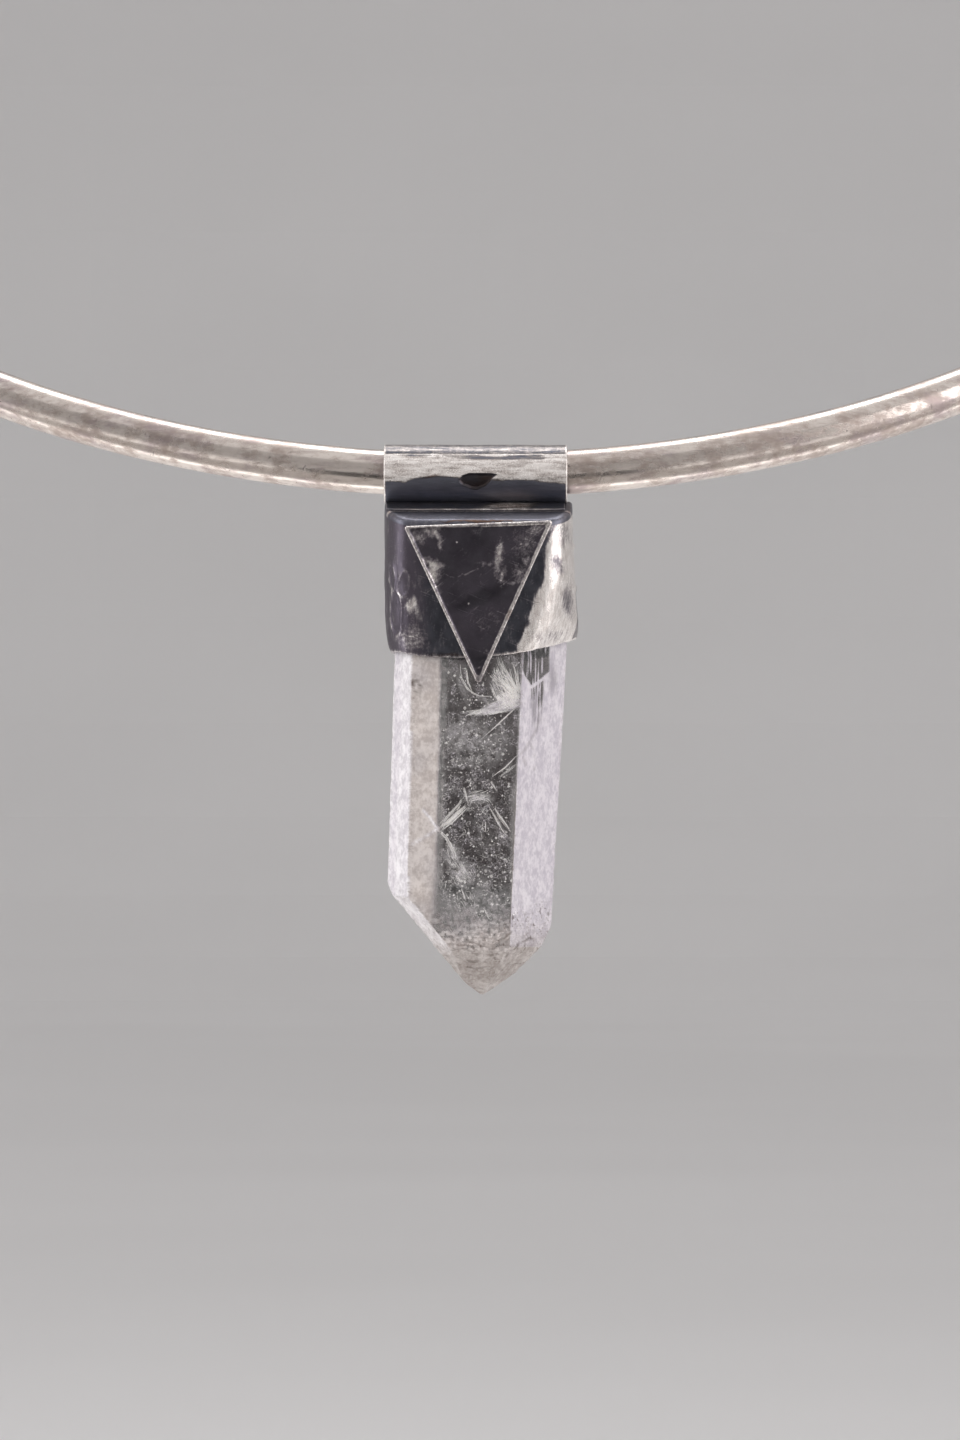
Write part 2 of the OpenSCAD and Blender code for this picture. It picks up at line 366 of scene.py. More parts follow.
def ring_silver():
    """Bright round wire, rubbed by wear, with fine scratches and dull smudges."""
    n = Nodes("ring_silver")
    smudge = n.noise(2.2, 4, 0.6)
    fine = n.noise(0.3, 4, 0.65, (3, 1, 1))
    scratch = n.range(n.noise(0.35, 2, 0.5, (14, 1, 1)), 0.60, 0.68)
    nick = n.range(n.noise(0.30, 2, 0.5, (1, 1, 5), (0.5, 0.4, 0)), 0.70, 0.76)
    tone = n.range(smudge * 0.6 + fine * 0.4, 0.38, 0.6)
    colour = n.mix(tone, (0.45, 0.375, 0.335), (0.76, 0.69, 0.635))
    dull = n.range(n.noise(1.3, 4, 0.65, (2.5, 1, 1)), 0.48, 0.68, 0.0, 0.6)
    colour = n.mix(dull, colour, (0.40, 0.325, 0.335))
    colour = n.mix(scratch * 0.35, colour, (0.42, 0.36, 0.33))
    colour = n.mix(nick * 0.6, colour, (0.2, 0.17, 0.16))
    rough = n.range(tone, 0, 1, 0.36, 0.20)
    height = fine - (scratch * 0.5 + nick) + n.noise(0.9, 2, 0.5, (2, 1, 1)) * 1.6
    return n.finish(
        {"Base Color": colour, "Roughness": rough, "Metallic": 1.0, "Normal": n.bump(height, 0.006)}
    )


def worn_silver(name, streaks, lean, dark, light, rubbed_and_highlight, matt=0.0):
    """Sheet silver with a dark sulphide skin that is rubbed through to bright metal; the same mask also
    paints highlights and shadows as brighter and darker metal.
    """
    n = Nodes(name)
    grain = n.noise(0.11, 5, 0.75)
    streak = n.noise(0.20, 4, 0.65, streaks, lean)
    cloud = n.noise(1.1, 4, 0.6)
    scratch = n.range(n.noise(0.16, 2, 0.5, (1, 1, 16), (0, 0.9, 0)), 0.64, 0.72)
    scratch = n.math("MAXIMUM", scratch, n.range(n.noise(0.14, 2, 0.5, (18, 1, 1), (0, 0.35, 0)), 0.64, 0.72))
    ragged = grain * 0.45 + streak * 0.55
    level = n.mask("wear_and_painted_light") + (ragged - 0.5) * 1.7 + scratch * 0.16
    skin = n.mix(n.range(cloud, 0.35, 0.65), dark, light)
    skin = n.mix(n.mask("violet"), skin, (0.125, 0.108, 0.132))
    skin = n.mix(n.mask("steel"), skin, n.mix(streak, (0.140, 0.145, 0.180), (0.290, 0.295, 0.345)))
    skin = n.mix(n.mask("stain"), skin, (0.050, 0.030, 0.018))
    colour = n.mix(n.range(level, 0.18, 0.70), skin, rubbed_and_highlight)
    bright = n.mix(n.range(streak, 0.35, 0.65), (0.70, 0.645, 0.61), (0.91, 0.87, 0.84))
    colour = n.mix(n.range(level, 0.45, 0.98), colour, bright)
    colour = n.mix(n.range(n.mask("stain"), 0.4, 1.0, 0.0, 0.7), colour, (0.21, 0.125, 0.09))
    rough = n.range(level, 0.1, 0.9, 0.40, 0.25) + (grain - 0.5) * 0.25
    height = grain * 0.5 + streak * 0.6 - scratch * 0.5
    # Brushed metal scatters some of its light, and so does the residue left in the crevices
    metal = n.range(level, 0.45, 0.98, 1.0, 1.0 - matt) * (1.0 - n.mask("residue"))
    return n.finish(
        {"Base Color": colour, "Roughness": rough, "Metallic": metal, "Normal": n.bump(height, 0.014)}
    )


# Tints of the stone's skin: mask, darker and lighter colour
CRYSTAL_TINTS = [
    ("lilac_and_shade", (0.49, 0.455, 0.51), (0.68, 0.64, 0.68)),
    ("beige", (0.49, 0.435, 0.405), (0.70, 0.645, 0.615)),
    ("dull", (0.28, 0.240, 0.218), (0.46, 0.42, 0.398)),
]


def rock_crystal():
    """Quartz: clear windows with specks, given painted shade by a dense grey absorption that stands for a
    dark backdrop seen through the stone, and white faces with a frosted, etched skin.
    """
    n = Nodes("rock_crystal")
    frost = n.mask("frost")
    fleck = n.mask("fleck")
    fine = n.noise(0.09, 3, 0.7)
    cloud = n.noise(0.8, 4, 0.6)
    # Bright specks and hair-fine curls just under the clear faces
    near = n.range(n.cells(0.20), 0.28, 0.12)
    chosen = n.range(n.noise(0.5, 2, 0.6), 0.47, 0.58)
    curls = n.range(abs(n.noise(0.26, 3, 0.6, distortion=1.3) - 0.5), 0.03, 0.006)
    curls = curls * n.range(n.noise(1.0, 2, 0.6), 0.45, 0.6)
    specks = n.math("MAXIMUM", near * chosen, curls * 0.9) * fleck
    haze = n.range(cloud, 0.35, 0.75) * (fleck * 0.06)
    skin = n.math("MAXIMUM", frost + haze, specks * 0.85, clamp=True)
    mottle = n.noise(0.24, 4, 0.7, (1, 1, 1.3))
    tone = cloud * 0.5 + mottle * 0.5
    share = n.range(tone, 0.40, 0.60)
    colour = n.mix(share, (0.60, 0.575, 0.60), (0.86, 0.84, 0.86))
    for name, low, high in CRYSTAL_TINTS:
        colour = n.mix(n.mask(name), colour, n.mix(share, low, high))
    pits = n.range(n.cells(0.27), 0.3, 0.16) * n.range(n.noise(0.7, 2), 0.47, 0.57)
    etched = n.range(abs(n.noise(0.30, 3, 0.6, (4, 4, 1), distortion=0.8) - 0.5), 0.035, 0.008)
    marks = n.math("MAXIMUM", pits, etched * 0.45) * n.mask("pitted")
    colour = n.mix(marks * 0.7, colour, (0.2, 0.16, 0.14))
    colour = n.mix(n.mask("dirt"), colour, (0.085, 0.060, 0.045))
    colour = n.mix(n.range(skin, 0.0, 0.5), (0.97, 0.96, 0.95), colour)
    clear = n.math("SUBTRACT", 1.0, skin, clamp=True)
    rough = n.range(skin, 0, 1, 0.05, 0.55)
    normal = n.bump(fine * frost * 0.9 + cloud * 0.3 - marks * 1.5, 0.012)
    # Painted shade: a dense grey absorption darkens what is seen through the clear windows
    volume = n.add("ShaderNodeVolumeAbsorption", {"Color": (0.56, 0.53, 0.535, 1), "Density": 640.0})
    return n.finish(
        {
            "Base Color": colour,
            "Roughness": rough,
            "Transmission Weight": clear,
            "IOR": 1.544,
            "Normal": normal,
        },
        volume,
    )


def glowing_inclusion_white():
    """A crack or a bubble in the stone: white, with a painted glow, an emission that stands for the light it
    scatters.
    """
    n = Nodes("glowing_inclusion_white")
    cloud = n.noise(0.25, 3, 0.6)
    colour = n.mix(n.range(cloud, 0.3, 0.7), (0.86, 0.82, 0.78), (0.98, 0.97, 0.96))
    rough = n.range(cloud, 0.3, 0.7, 0.35, 0.6)
    return n.finish(
        {
            "Base Color": colour,
            "Roughness": rough,
            "Normal": n.bump(cloud, 0.02),
            # Painted glow: the cracks, curls and specks give off a little light of their own
            "Emission Color": (1.0, 0.98, 0.96, 1),
            "Emission Strength": 0.34,
        }
    )


def inclusion_veil():
    """A healed crack seen face on: a thin cloud of white threads, dense in its middle."""
    n = Nodes("inclusion_veil")
    body = n.mask("body")
    thread = n.noise(0.10, 4, 0.75, (1, 1, 5), (0, 0.8, 0))
    cloud = n.noise(0.35, 5, 0.7)
    share = thread * 0.7 + cloud * 0.3
    share = n.range(share + (body - 0.5) * 0.25, 0.45, 0.68)
    alpha = n.math("MULTIPLY", share, body, clamp=True)
    colour = n.mix(cloud, (0.80, 0.75, 0.70), (0.97, 0.96, 0.95))
    return n.finish(
        {"Base Color": colour, "Roughness": 0.5, "Alpha": alpha, "Normal": n.bump(thread, 0.02)}
    )


# Neck ring and clasp, swept round the ring's circle

def ring_frame():
    """The ring's centre, and its plane's two directions and normal, in millimetres in the row frame."""
    tilt = math.radians(RING_TILT)
    back = np.array([0, math.cos(tilt), math.sin(tilt)])
    normal = np.array([0, -math.sin(tilt), math.cos(tilt)])
    centre = -(RING_R - SLEEVE_R) * back
    return centre, np.array([1.0, 0, 0]), back, normal


def sweep_ring(angles, sections):
    """Points of sections (out from the ring's centre, along its normal) at angles in radians."""
    centre, right, back, normal = ring_frame()
    out = np.cos(angles)[:, None] * right + np.sin(angles)[:, None] * back
    radius = RING_R + sections[..., 0]
    return centre + radius[..., None] * out[:, None, :] + sections[..., 1][..., None] * normal


def ring_grid(angles, sides, radius):
    """Turn round the wire at each point of its sections, and the point unrolled, for noise."""
    turn = np.linspace(0, 2 * math.pi, sides, endpoint=False)
    along, turn = np.meshgrid(angles * RING_R, turn, indexing="ij")
    return turn, np.stack([along, radius * np.cos(turn), radius * np.sin(turn)], axis=-1)


def circle(radius, turn):
    return np.stack([radius * np.cos(turn), radius * np.sin(turn)], axis=-1)


def add_neck_ring(material):
    steps, sides = 960, 48
    half_gap = WIRE_GAP / RING_R / 2
    angles = np.linspace(math.pi / 2 + half_gap, math.pi / 2 + 2 * math.pi - half_gap, steps)
    turn, where = ring_grid(angles, sides, 2.5)
    waver = 0.010 * rough_noise(where, 9.0, 3, 2) + 0.0015 * rough_noise(where, 2.0, 5, 2)
    sections = circle((WIRE_R - 0.012 + waver).clip(max=WIRE_R), turn)
    # The cut ends are rounded over
    for row, inset in ((0, 0.12), (1, 0.02), (-1, 0.12), (-2, 0.02)):
        sections[row] *= (WIRE_R - inset) / WIRE_R
    points = sweep_ring(angles, sections)
    points = np.vstack([points.reshape(-1, 3), points[[0, -1]].mean(axis=1)])
    add_piece(
        "neck_ring_wire", points, capped_faces(steps, sides), "collar", material,
        ["neck_ring"], origin=0,
    )


def add_clasp(material):
    steps, sides = 90, 72
    half = CLASP_L / RING_R / 2
    angles = math.pi / 2 + np.linspace(-half, half, steps)
    rounding = round_lip((half - np.abs(angles - math.pi / 2)) * RING_R, 0.3)[:, None]
    turn, where = ring_grid(angles, sides, 2)
    waver = 0.02 * rough_noise(where, 2.4, 8, 2)
    # The sleeve's joint is a shallow line along its under side
    seam = 0.06 * bell((turn + 1.5 * math.pi) % (2 * math.pi) - math.pi, 0.07)
    outer = SLEEVE_R - 0.02 - rounding + waver.clip(max=0.02) - seam
    inner = SLEEVE_BORE_R + 0.5 * rounding + 0 * outer
    points = [sweep_ring(angles, circle(radius, turn)) for radius in (outer, inner)]
    add_piece(
        "clasp_sleeve", points, shell_faces(steps, sides), "collar", material,
        ["clasp"], origin=0,
    )


# Bail: a rolled tube whose sheet ends in a lap over its front

LAP_ANGLE = 38
# Lower edge of the bright metal on the bail's front, as places across and heights
BAIL_BRIGHT = (
    [-6.1, -4.6, -4.0, -2.7, -1.4, 0.2, 1.4, 3.6, 4.6, 6.1],
    [-0.60, -0.60, -0.42, -0.24, -0.36, -0.45, -0.52, -0.47, -0.60, -0.80],
)
# Upper and lower edge of the pointed dent: straight above, round below, with a tip on the right
DENT_TOP = ([-1.10, -0.87, -0.43, 1.00, 1.38], [-0.50, -0.21, -0.06, -0.06, -0.13])
DENT_FOOT = (
    [-1.10, -0.87, -0.25, 0.10, 0.65, 1.00, 1.13, 1.38],
    [-0.55, -0.84, -1.09, -1.13, -0.89, -0.57, -0.35, -0.14],
)


def add_bail(material):
    end = np.array([6.01, 6.05, 6.08, 6.098])
    length = np.concatenate([-end[::-1], np.linspace(-BAIL_L / 2, BAIL_L / 2, 190)[2:-2], end])
    # Angle round the tube from its front, going up; the lap's two sides share one angle
    up = np.append(np.linspace(0.0, 359.2, 249), 359.9)
    x, up = np.meshgrid(length, up, indexing="ij")
    out = np.cos(np.radians(LAP_ANGLE + up))
    rise = np.sin(np.radians(LAP_ANGLE + up))
    where = np.stack([x, 2 * out, 2 * rise], axis=-1)
    lap = (0.11 + 0.03 * value_noise(where * [1, 0, 0] + 3, 1.3, 4)) * bell(up, 65)
    face_z = BAIL_R * rise
    room = np.minimum(np.interp(x, *DENT_TOP) - face_z, face_z - np.interp(x, *DENT_FOOT))
    room = np.minimum(room, np.minimum(x + 1.10, 1.38 - x))
    dent = 0.125 * ramp(room, 0.0, 0.13) * (out > 0)
    radius = BAIL_R - 0.02 - lap + 0.014 * rough_noise(where, 2.2, 21) - dent
    radius -= round_lip(BAIL_L / 2 - np.abs(x), 0.09)
    radius = radius.clip(max=BAIL_R)
    outer = np.stack([x, -radius * out, radius * rise], axis=-1)
    inner = np.stack([x, -BAIL_BORE_R * out, BAIL_BORE_R * rise], axis=-1)
    # Bright above a ragged edge, dark below it, with a brushed grey strip above the lap and a painted shadow
    # along the strip's foot, just above the lap's edge
    z = outer[..., 2]
    off_edge = z - np.interp(x, *BAIL_BRIGHT) + 0.10 * rough_noise(outer * [0.5, 1, 1], 0.5, 31)
    on_front = out > -0.2
    above = ramp(z, 1.20, 1.28) * on_front
    brushed = rough_noise(outer * [1, 0.3, 0.3], 0.22, 35)
    scuffed = rough_noise(outer * [0.35, 1, 1], 0.30, 36)
    strip_grey_and_shadow = 0.47 + 0.10 * bell(z - 1.36, 0.10) - 0.12 * brushed
    bright = ramp(off_edge, -0.10, 0.12) * (0.92 - strip_grey_and_shadow * above)
    wear_and_painted_light = np.where(on_front, bright, 0.45 + 0.3 * rough_noise(outer, 1.5, 33))
    # A highlight is painted along the lap's edge as bright metal broken by scratches, above a dark scuff on
    # its right
    lap_edge = on_front & (z > 1.10) & (z < 1.24)
    wear_and_painted_light = np.where(lap_edge, 0.80 + 0.55 * scuffed + 0.2 * ramp(x, -1, 1), wear_and_painted_light)
    scuff = spot(x, z, (1.5, 1.00), (3.0, 0.12), 0, 0.6, 0.5 * scuffed)
    wear_and_painted_light = wear_and_painted_light - on_front * (0.55 * scuff + 0.18 * np.abs(scuffed) * (above == 0))
    wear_and_painted_light = np.maximum(wear_and_painted_light, ramp(np.abs(x), BAIL_L / 2 - 0.16, BAIL_L / 2 - 0.05))
    pit = ramp(room, -0.07, 0.02) * (out > 0)
    brown = 0.75 * spot(x, z, (-2.9, -0.24), (0.75, 0.10), 12, 0.6, 0.4 * scuffed)
    border = 0.65 * bell(off_edge, 0.09) * ramp(scuffed, -0.1, 0.5)
    stain = on_front * highest(pit * (0.50 + 0.25 * scuffed), brown, border)
    masks = {
        "wear_and_painted_light": wear_and_painted_light * (1 - pit),
        "stain": np.append(stain, np.full(x.size, 0.4)),
        "steel": np.where(on_front, 1.0 + 0.3 * scuffed, 0.45) * (1 - pit) * (1 - above),
        "residue": 0.14 * ramp(-z, 1.45, 1.90) * on_front,
    }
    add_piece(
        "bail_tube", [outer, inner], shell_faces(*x.shape), "pendant", material,
        ["setting"], masks,
    )


def add_solder(material):
    """Solder that fills the groove between the bail and the cap's roof, at the front and the back."""
    steps = 150
    x = np.linspace(-5.95, 5.95, steps)
    start_angle = math.radians(14)
    top = (BAIL_R * math.sin(start_angle), 0.02 - BAIL_R * math.cos(start_angle))
    for name, side in (("solder_front", -1), ("solder_back", 1)):
        swell = 0.05 * rough_noise(np.column_stack([x, 0 * x, 0 * x + 3.0 * side]), 1.6, 41, 2)
        reach = (1.95 + swell) * (1 - 0.05 * ramp(np.abs(x), 5.2, 5.95))
        toe = (reach, RIDGE_Z - ROOF_SLOPE * reach + 0.05)
        hollow = (1.05 + 0.5 * swell, -2.12 + 0.5 * swell)
        section = [[curve(*ends, t) for ends in zip(top, hollow, toe)] for t in np.linspace(0, 1, 9)]
        section += [(reach + 0.05, toe[1] - 0.09), (1.2, RIDGE_Z - ROOF_SLOPE * 1.2 - 0.1)]
        section += [(0.4, RIDGE_Z - 0.2), (0.3, -1.86)]
        sides = len(section)
        points = np.stack([np.column_stack([x, side * y + 0 * x, z + 0 * x]) for y, z in section], axis=1)
        points = np.vstack([points.reshape(-1, 3), points[[0, -1]].mean(axis=1)])
        drawn_out = points * [0.4, 1, 1]
        rust = spot(points[:, 0], points[:, 2], (2.4, -2.17), (1.6, 0.22), 0, 0.5)
        # A highlight is painted along the toe of the solder as brighter metal
        at_toe = np.append(np.tile(np.isin(np.arange(sides), (8, 9)), steps), [False, False])
        off_end = 1 - ramp(np.abs(points[:, 0]), 3.5, 5.8)
        rubbed_and_highlight = 0.42 * at_toe * off_end * (0.8 + 0.6 * rough_noise(points, 0.4, 47))
        masks = {
            "wear_and_painted_light": 0.30 + 0.5 * rust + 0.25 * rough_noise(drawn_out, 0.5, 45) + rubbed_and_highlight,
            "stain": 0.8 * rust + 0.15 * rough_noise(points, 0.5, 43, 2),
            "violet": 0.5 + 0.4 * rough_noise(points, 1.5, 44, 2),
            "steel": 0.95 + 0.3 * rough_noise(drawn_out, 0.8, 46, 2),
            "residue": np.full(len(points), 0.06),
        }
        add_piece(
            name, points, capped_faces(steps, sides), "pendant", material,
            ["setting"], masks,
        )


# Cap: the crumpled sheet sleeve round the stone's top

def face_from_cap(row, up):
    facing, off, flare, _ = STONE_FACES[row]
    facing = math.radians(facing)
    shift = (STONE_X - CAP_X + up * math.tan(STONE_LEAN)) * math.cos(facing) + STONE_Y * math.sin(facing)
    return off + up * math.tan(math.radians(flare)) + shift


def stone_reach(side):
    """How far the stone's edge lies from the cap's middle on one side."""
    pair = (FRONT_RIGHT, BACK_RIGHT) if side > 0 else (BACK_LEFT, FRONT_LEFT)
    reach = sum(STONE_FACES[row][1] for row in pair) / (2 * math.cos(math.radians(30)))
    return reach + side * (STONE_X - CAP_X)


def flat_off(flat, t):
    facing, row, fullness, stand_off, flared = flat
    wall = stand_off * CAP_CLEAR + SHEET
    late = t**FLARE_POWER
    if row is None:
        side = 1 if facing == 0 else -1
        off = CAP_W / 2 + (stone_reach(side) + wall - CAP_W / 2) * t
    else:
        top = face_from_cap(row, CAP_H) + CAP_CLEAR + SHEET + fullness * STONE_W
        off = top + (face_from_cap(row, 0) + wall - top) * late
    return off + flared * RIM_FLARE * late + 0.03


def cap_radius(angle, t, inset=0.0):
    """Distance of the cap's wall from its middle, with t from 0 under the bail to 1 at the rim."""
    total = 0
    for flat in CAP_FLATS:
        lean = np.clip(np.cos(angle - math.radians(flat[0])), 0, None)
        total = total + (lean / (flat_off(flat, t) - inset)) ** CORNER_POWER
    return total ** (-1 / CORNER_POWER)


def softened(ring, spread=8):
    """Values round the cap averaged with their neighbours, so that corners are bent and not cut."""
    shifts = range(-2 * spread, 2 * spread + 1)
    weights = [math.exp(-((shift / spread) ** 2)) for shift in shifts]
    return sum(w * np.roll(ring, shift) for w, shift in zip(weights, shifts)) / sum(weights)


def rim_edge_z(x):
    return RIM_Z + RIM_RISE * (2 * x / CAP_W) ** 2 + RIM_SKEW * 2 * x / CAP_W


# Raised veins on the cap's left side: middle, half width and half height of each oval, and its turn
VEIN_OVALS = [
    ((-5.42, -6.95), (0.22, 0.85), 4),
    ((-4.72, -7.55), (0.36, 0.85), -6),
    ((-5.25, -9.35), (0.38, 1.65), 2),
]
# Left edge of the bright band on the cap's right side, which is rubbed metal and a painted highlight where
# the light from the right falls: depths below the bail's axis and places across
BAND_EDGE = ([3.3, 4.2, 5.8, 7.8, 9.8, 11.8, 12.4], [5.5, 4.95, 4.62, 4.15, 3.45, 2.62, 2.45])


def add_cap(material):
    sides = 400
    angle = np.linspace(0, 2 * math.pi, sides, endpoint=False)
    outwards = np.column_stack([circle(1, angle), 0 * angle])
    right, back, _ = outwards.T
    edge_r = softened(cap_radius(angle, 0.0))
    fold = 0.32
    fold_share = fold / CAP_H

    def wall(t, inset=0.0):
        here, top, rim = (softened(cap_radius(angle, at, inset)) for at in (t, 0.0, 1.0))
        top_z = RIDGE_Z - ROOF_SLOPE * np.abs(top * back) - inset
        rim_z = rim_edge_z(CAP_X + rim * right)
        return np.column_stack([CAP_X + here * right, here * back, top_z + (rim_z - top_z) * t])

    def roof(share):
        reach = (edge_r - fold) * share
        y = reach * back
        # A soft swelling lies along the roof in front of the bail and behind it
        swell = 0.10 * bell(np.abs(y) - 3.3, 0.9)
        return np.column_stack([CAP_X + reach * right, y, RIDGE_Z - ROOF_SLOPE * np.abs(y) + swell])

    roof_rows = 34
    rows = [roof(share) for share in np.linspace(0.02, 1, roof_rows)]
    fold_ends = roof(1.0), wall(0.0), wall(fold_share)
    rows += [curve(*fold_ends, t) for t in np.linspace(0, 1, 8)[1:]]
    outer_t = np.linspace(fold_share, 1, 96)[1:]
    rows += [wall(t) for t in outer_t]
    outer_rim, inner_rim = wall(1.0), wall(1.0, SHEET)
    for t in (0.25, 0.5, 0.75):
        rows.append(outer_rim * (1 - t) + inner_rim * t - [0, 0, 0.06 * math.sin(math.pi * t)])
    inner_row = len(rows)
    inner_t = np.linspace(1, 0.02, 12)
    rows += [wall(t, SHEET) for t in inner_t]
    rows += [wall(0.0, SHEET) * [1 - s, 1 - s, 1] + [s * CAP_X, 0, 0] for s in (0.3, 0.7, 0.97)]
    points = np.array(rows)
    fold_t = np.linspace(0, fold_share, 7)
    row_t = np.concatenate([np.zeros(roof_rows), fold_t, outer_t, [1] * 3, inner_t, [0] * 3])
    row_t = row_t[:, None] + 0 * angle

    # Crumpled and hammered wall, with the plate's seat left flat
    x, y, z = np.moveaxis(points, -1, 0)
    in_front = (y < 0) & (row_t > 0)
    seat_half = np.interp(z, [CAP_TOP_Z - PLATE_H, CAP_TOP_Z], [0.3, PLATE_W / 2 + 0.3])
    seat = in_front * (1 - ramp(np.abs(x - CAP_X) - seat_half, -0.1, 0.45))
    free = ramp(row_t, 0.01, 0.10) * (1 - seat)
    crumple = 0.075 * rough_noise(points, 2.3, 51)
    crumple += 0.030 * rough_noise(points * [1, 1, 0.45], 0.75, 55)
    push = crumple * free
    # Knocks that show in the outline of the right side
    push += 0.10 * bell(z + 4.85, 0.16) * ramp(right, 0.93, 1)
    push += 0.09 * bell(z + 7.6, 0.26) * ramp(right, 0.90, 1)
    # A crease runs from the upper right corner to the rim, left of the bright band
    push += 0.035 * bell(x - np.interp(-z, *BAND_EDGE), 0.45) * in_front * free
    bend = 0.16 * rough_noise(points, 0.9, 57)
    off_rims = ((oval(x + bend, z + 2 * bend, *vein) - 1) * vein[1][0] for vein in VEIN_OVALS)
    veins = highest(*(bell(off_rim, 0.06) for off_rim in off_rims)) * in_front * (x < -3.9)
    push += 0.06 * veins
    points = points + push[..., None] * outwards
    # The rim is ragged, most of all at the left
    rag = 0.05 + 0.13 * ramp(-right, 0.3, 0.9)
    rag = rag * rough_noise([CAP_X, 0, 0] + 6 * outwards, 0.5, 61)
    points[..., 2] += rag * ramp(row_t, 0.9, 1)

    rough = rough_noise(points, 1.1, 71)
    fine = rough_noise(points * [1, 1, 0.6], 0.35, 75)
    x = points[..., 0] + 0.22 * rough_noise(points, 0.6, 77)
    z = points[..., 2] + 0.30 * rough_noise(points, 0.6, 78)
    # The bright band on the right side is rubbed metal, painted bright also as a highlight where the light
    # from the right falls
    band = ramp(x - np.interp(-z, *BAND_EDGE) + 0.15 * fine, -0.12, 0.22)
    dull = highest(
        spot(x, z, (5.45, -6.1), (0.40, 0.65), 20, 0.7),
        spot(x, z, (6.1, -8.6), (0.35, 0.9), 5, 0.7),
        0.55 * spot(x, z, (4.9, -10.9), (1.1, 0.45), 8, 0.8, 0.6 * fine),
        0.6 * spot(x, z, (5.9, -4.2), (0.5, 0.8), 0, 0.7),
    )
    hatch = 0.12 * np.cos(2 * math.pi * (points[..., 2] + 0.30 * fine) / 0.30) + 0.25 * fine
    front_worn = highest(
        band * (1.0 - 0.5 * dull),
        0.84 * spot(x, z, (-4.25, -8.85), (0.36, 0.52), -24, 0.6, 0.5 * fine),
        0.55 * spot(x, z, (-3.85, -9.5), (0.30, 0.70), 20, 0.8, 0.5 * fine),
        (0.52 + hatch) * spot(x, z, (-4.15, -11.1), (1.0, 0.95), 0, 0.7, 0.3 * fine),
        0.70 * veins * (0.62 + 1.1 * fine),
        0.16 + 0.22 * fine,
        0.55 * spot(x, z, (5.5, -3.7), (0.8, 0.6)),
    )
    wear_and_painted_light = np.where(in_front, front_worn, (0.36 + 0.38 * rough) * (row_t > 0) + 0.15)
    wear_and_painted_light = np.maximum(wear_and_painted_light, ramp(row_t, 0.975, 1.0) * (0.55 + 0.4 * ramp(x, 0, 3)))
    wear_and_painted_light[inner_row:] = 0
    front_violet = 0.9 * ramp(-x, 2.6, 4.2) + 0.3 * ramp(x, 4.0, 5.5)
    stain = 0.5 * spot(x, z, (-2.0, -12.2), (1.2, 0.2)) + 0.8 * spot(x, z, (0.3, -3.35), (2.8, 0.10))
    on_roof = row_t <= fold_share
    # A highlight line is painted across the roof in front of the bail and behind it, as brighter, more violet
    # and less steel-blue metal
    roof_painted_highlight = bell(np.abs(points[..., 1]) - 2.42, 0.20)
    masks = {
        "wear_and_painted_light": np.where(on_roof, 0.16 + 0.60 * roof_painted_highlight + 0.2 * fine, wear_and_painted_light),
        "stain": stain * in_front,
        "violet": np.where(on_roof, 0.3 + 0.6 * roof_painted_highlight, np.where(in_front, front_violet, 0.4 + 0.4 * rough)),
        "steel": np.where(on_roof, 0.48 - 0.2 * roof_painted_highlight + 0.3 * rough, 0),
    }
    ends = [[CAP_X, 0, RIDGE_Z], [CAP_X, 0, RIDGE_Z - SHEET]]
    add_piece(
        "cap_sheet", np.vstack([points.reshape(-1, 3), ends]), capped_faces(*row_t.shape), "pendant",
        material, ["setting"], masks, rest=0.1,
    )


# Plate: three-cornered, with a raised bright rim round a dark sunken face

def rounded_outline(corners, radii, spacing):
    """Points along a polygon with rounded corners, about spacing apart."""
    corners = np.array(corners, float)
    outline = []
    number = len(corners)
    for n in range(number):
        before, here, after = corners[n - 1], corners[n], corners[(n + 1) % number]
        to_a = (before - here) / np.linalg.norm(before - here)
        to_c = (after - here) / np.linalg.norm(after - here)
        half = math.acos(float(to_a @ to_c)) / 2
        bisector = (to_a + to_c) / np.linalg.norm(to_a + to_c)
        middle = here + bisector * radii[n] / math.sin(half)
        first = here + to_a * radii[n] / math.tan(half) - middle
        last = here + to_c * radii[n] / math.tan(half) - middle
        start = math.atan2(first[1], first[0])
        turn = (math.atan2(last[1], last[0]) - start + 3 * math.pi) % (2 * math.pi) - math.pi
        steps = 8
        for k in range(steps + 1):
            angle = start + turn * k / steps
            outline.append(middle + radii[n] * np.array([math.cos(angle), math.sin(angle)]))
    dense = []
    for n, here in enumerate(outline):
        after = outline[(n + 1) % len(outline)]
        pieces = max(1, int(np.linalg.norm(after - here) / spacing))
        dense += [here + (after - here) * k / pieces for k in range(pieces)]
    return np.array(dense)


# The plate's rim from its outer edge inwards: distance from the edge, depth below the crest
RIM_PROFILE = [
    (0.0, 0.12), (0.03, 0.04), (0.08, 0.005), (0.13, 0.0), (0.19, 0.008), (0.25, 0.045), (0.30, 0.06),
]
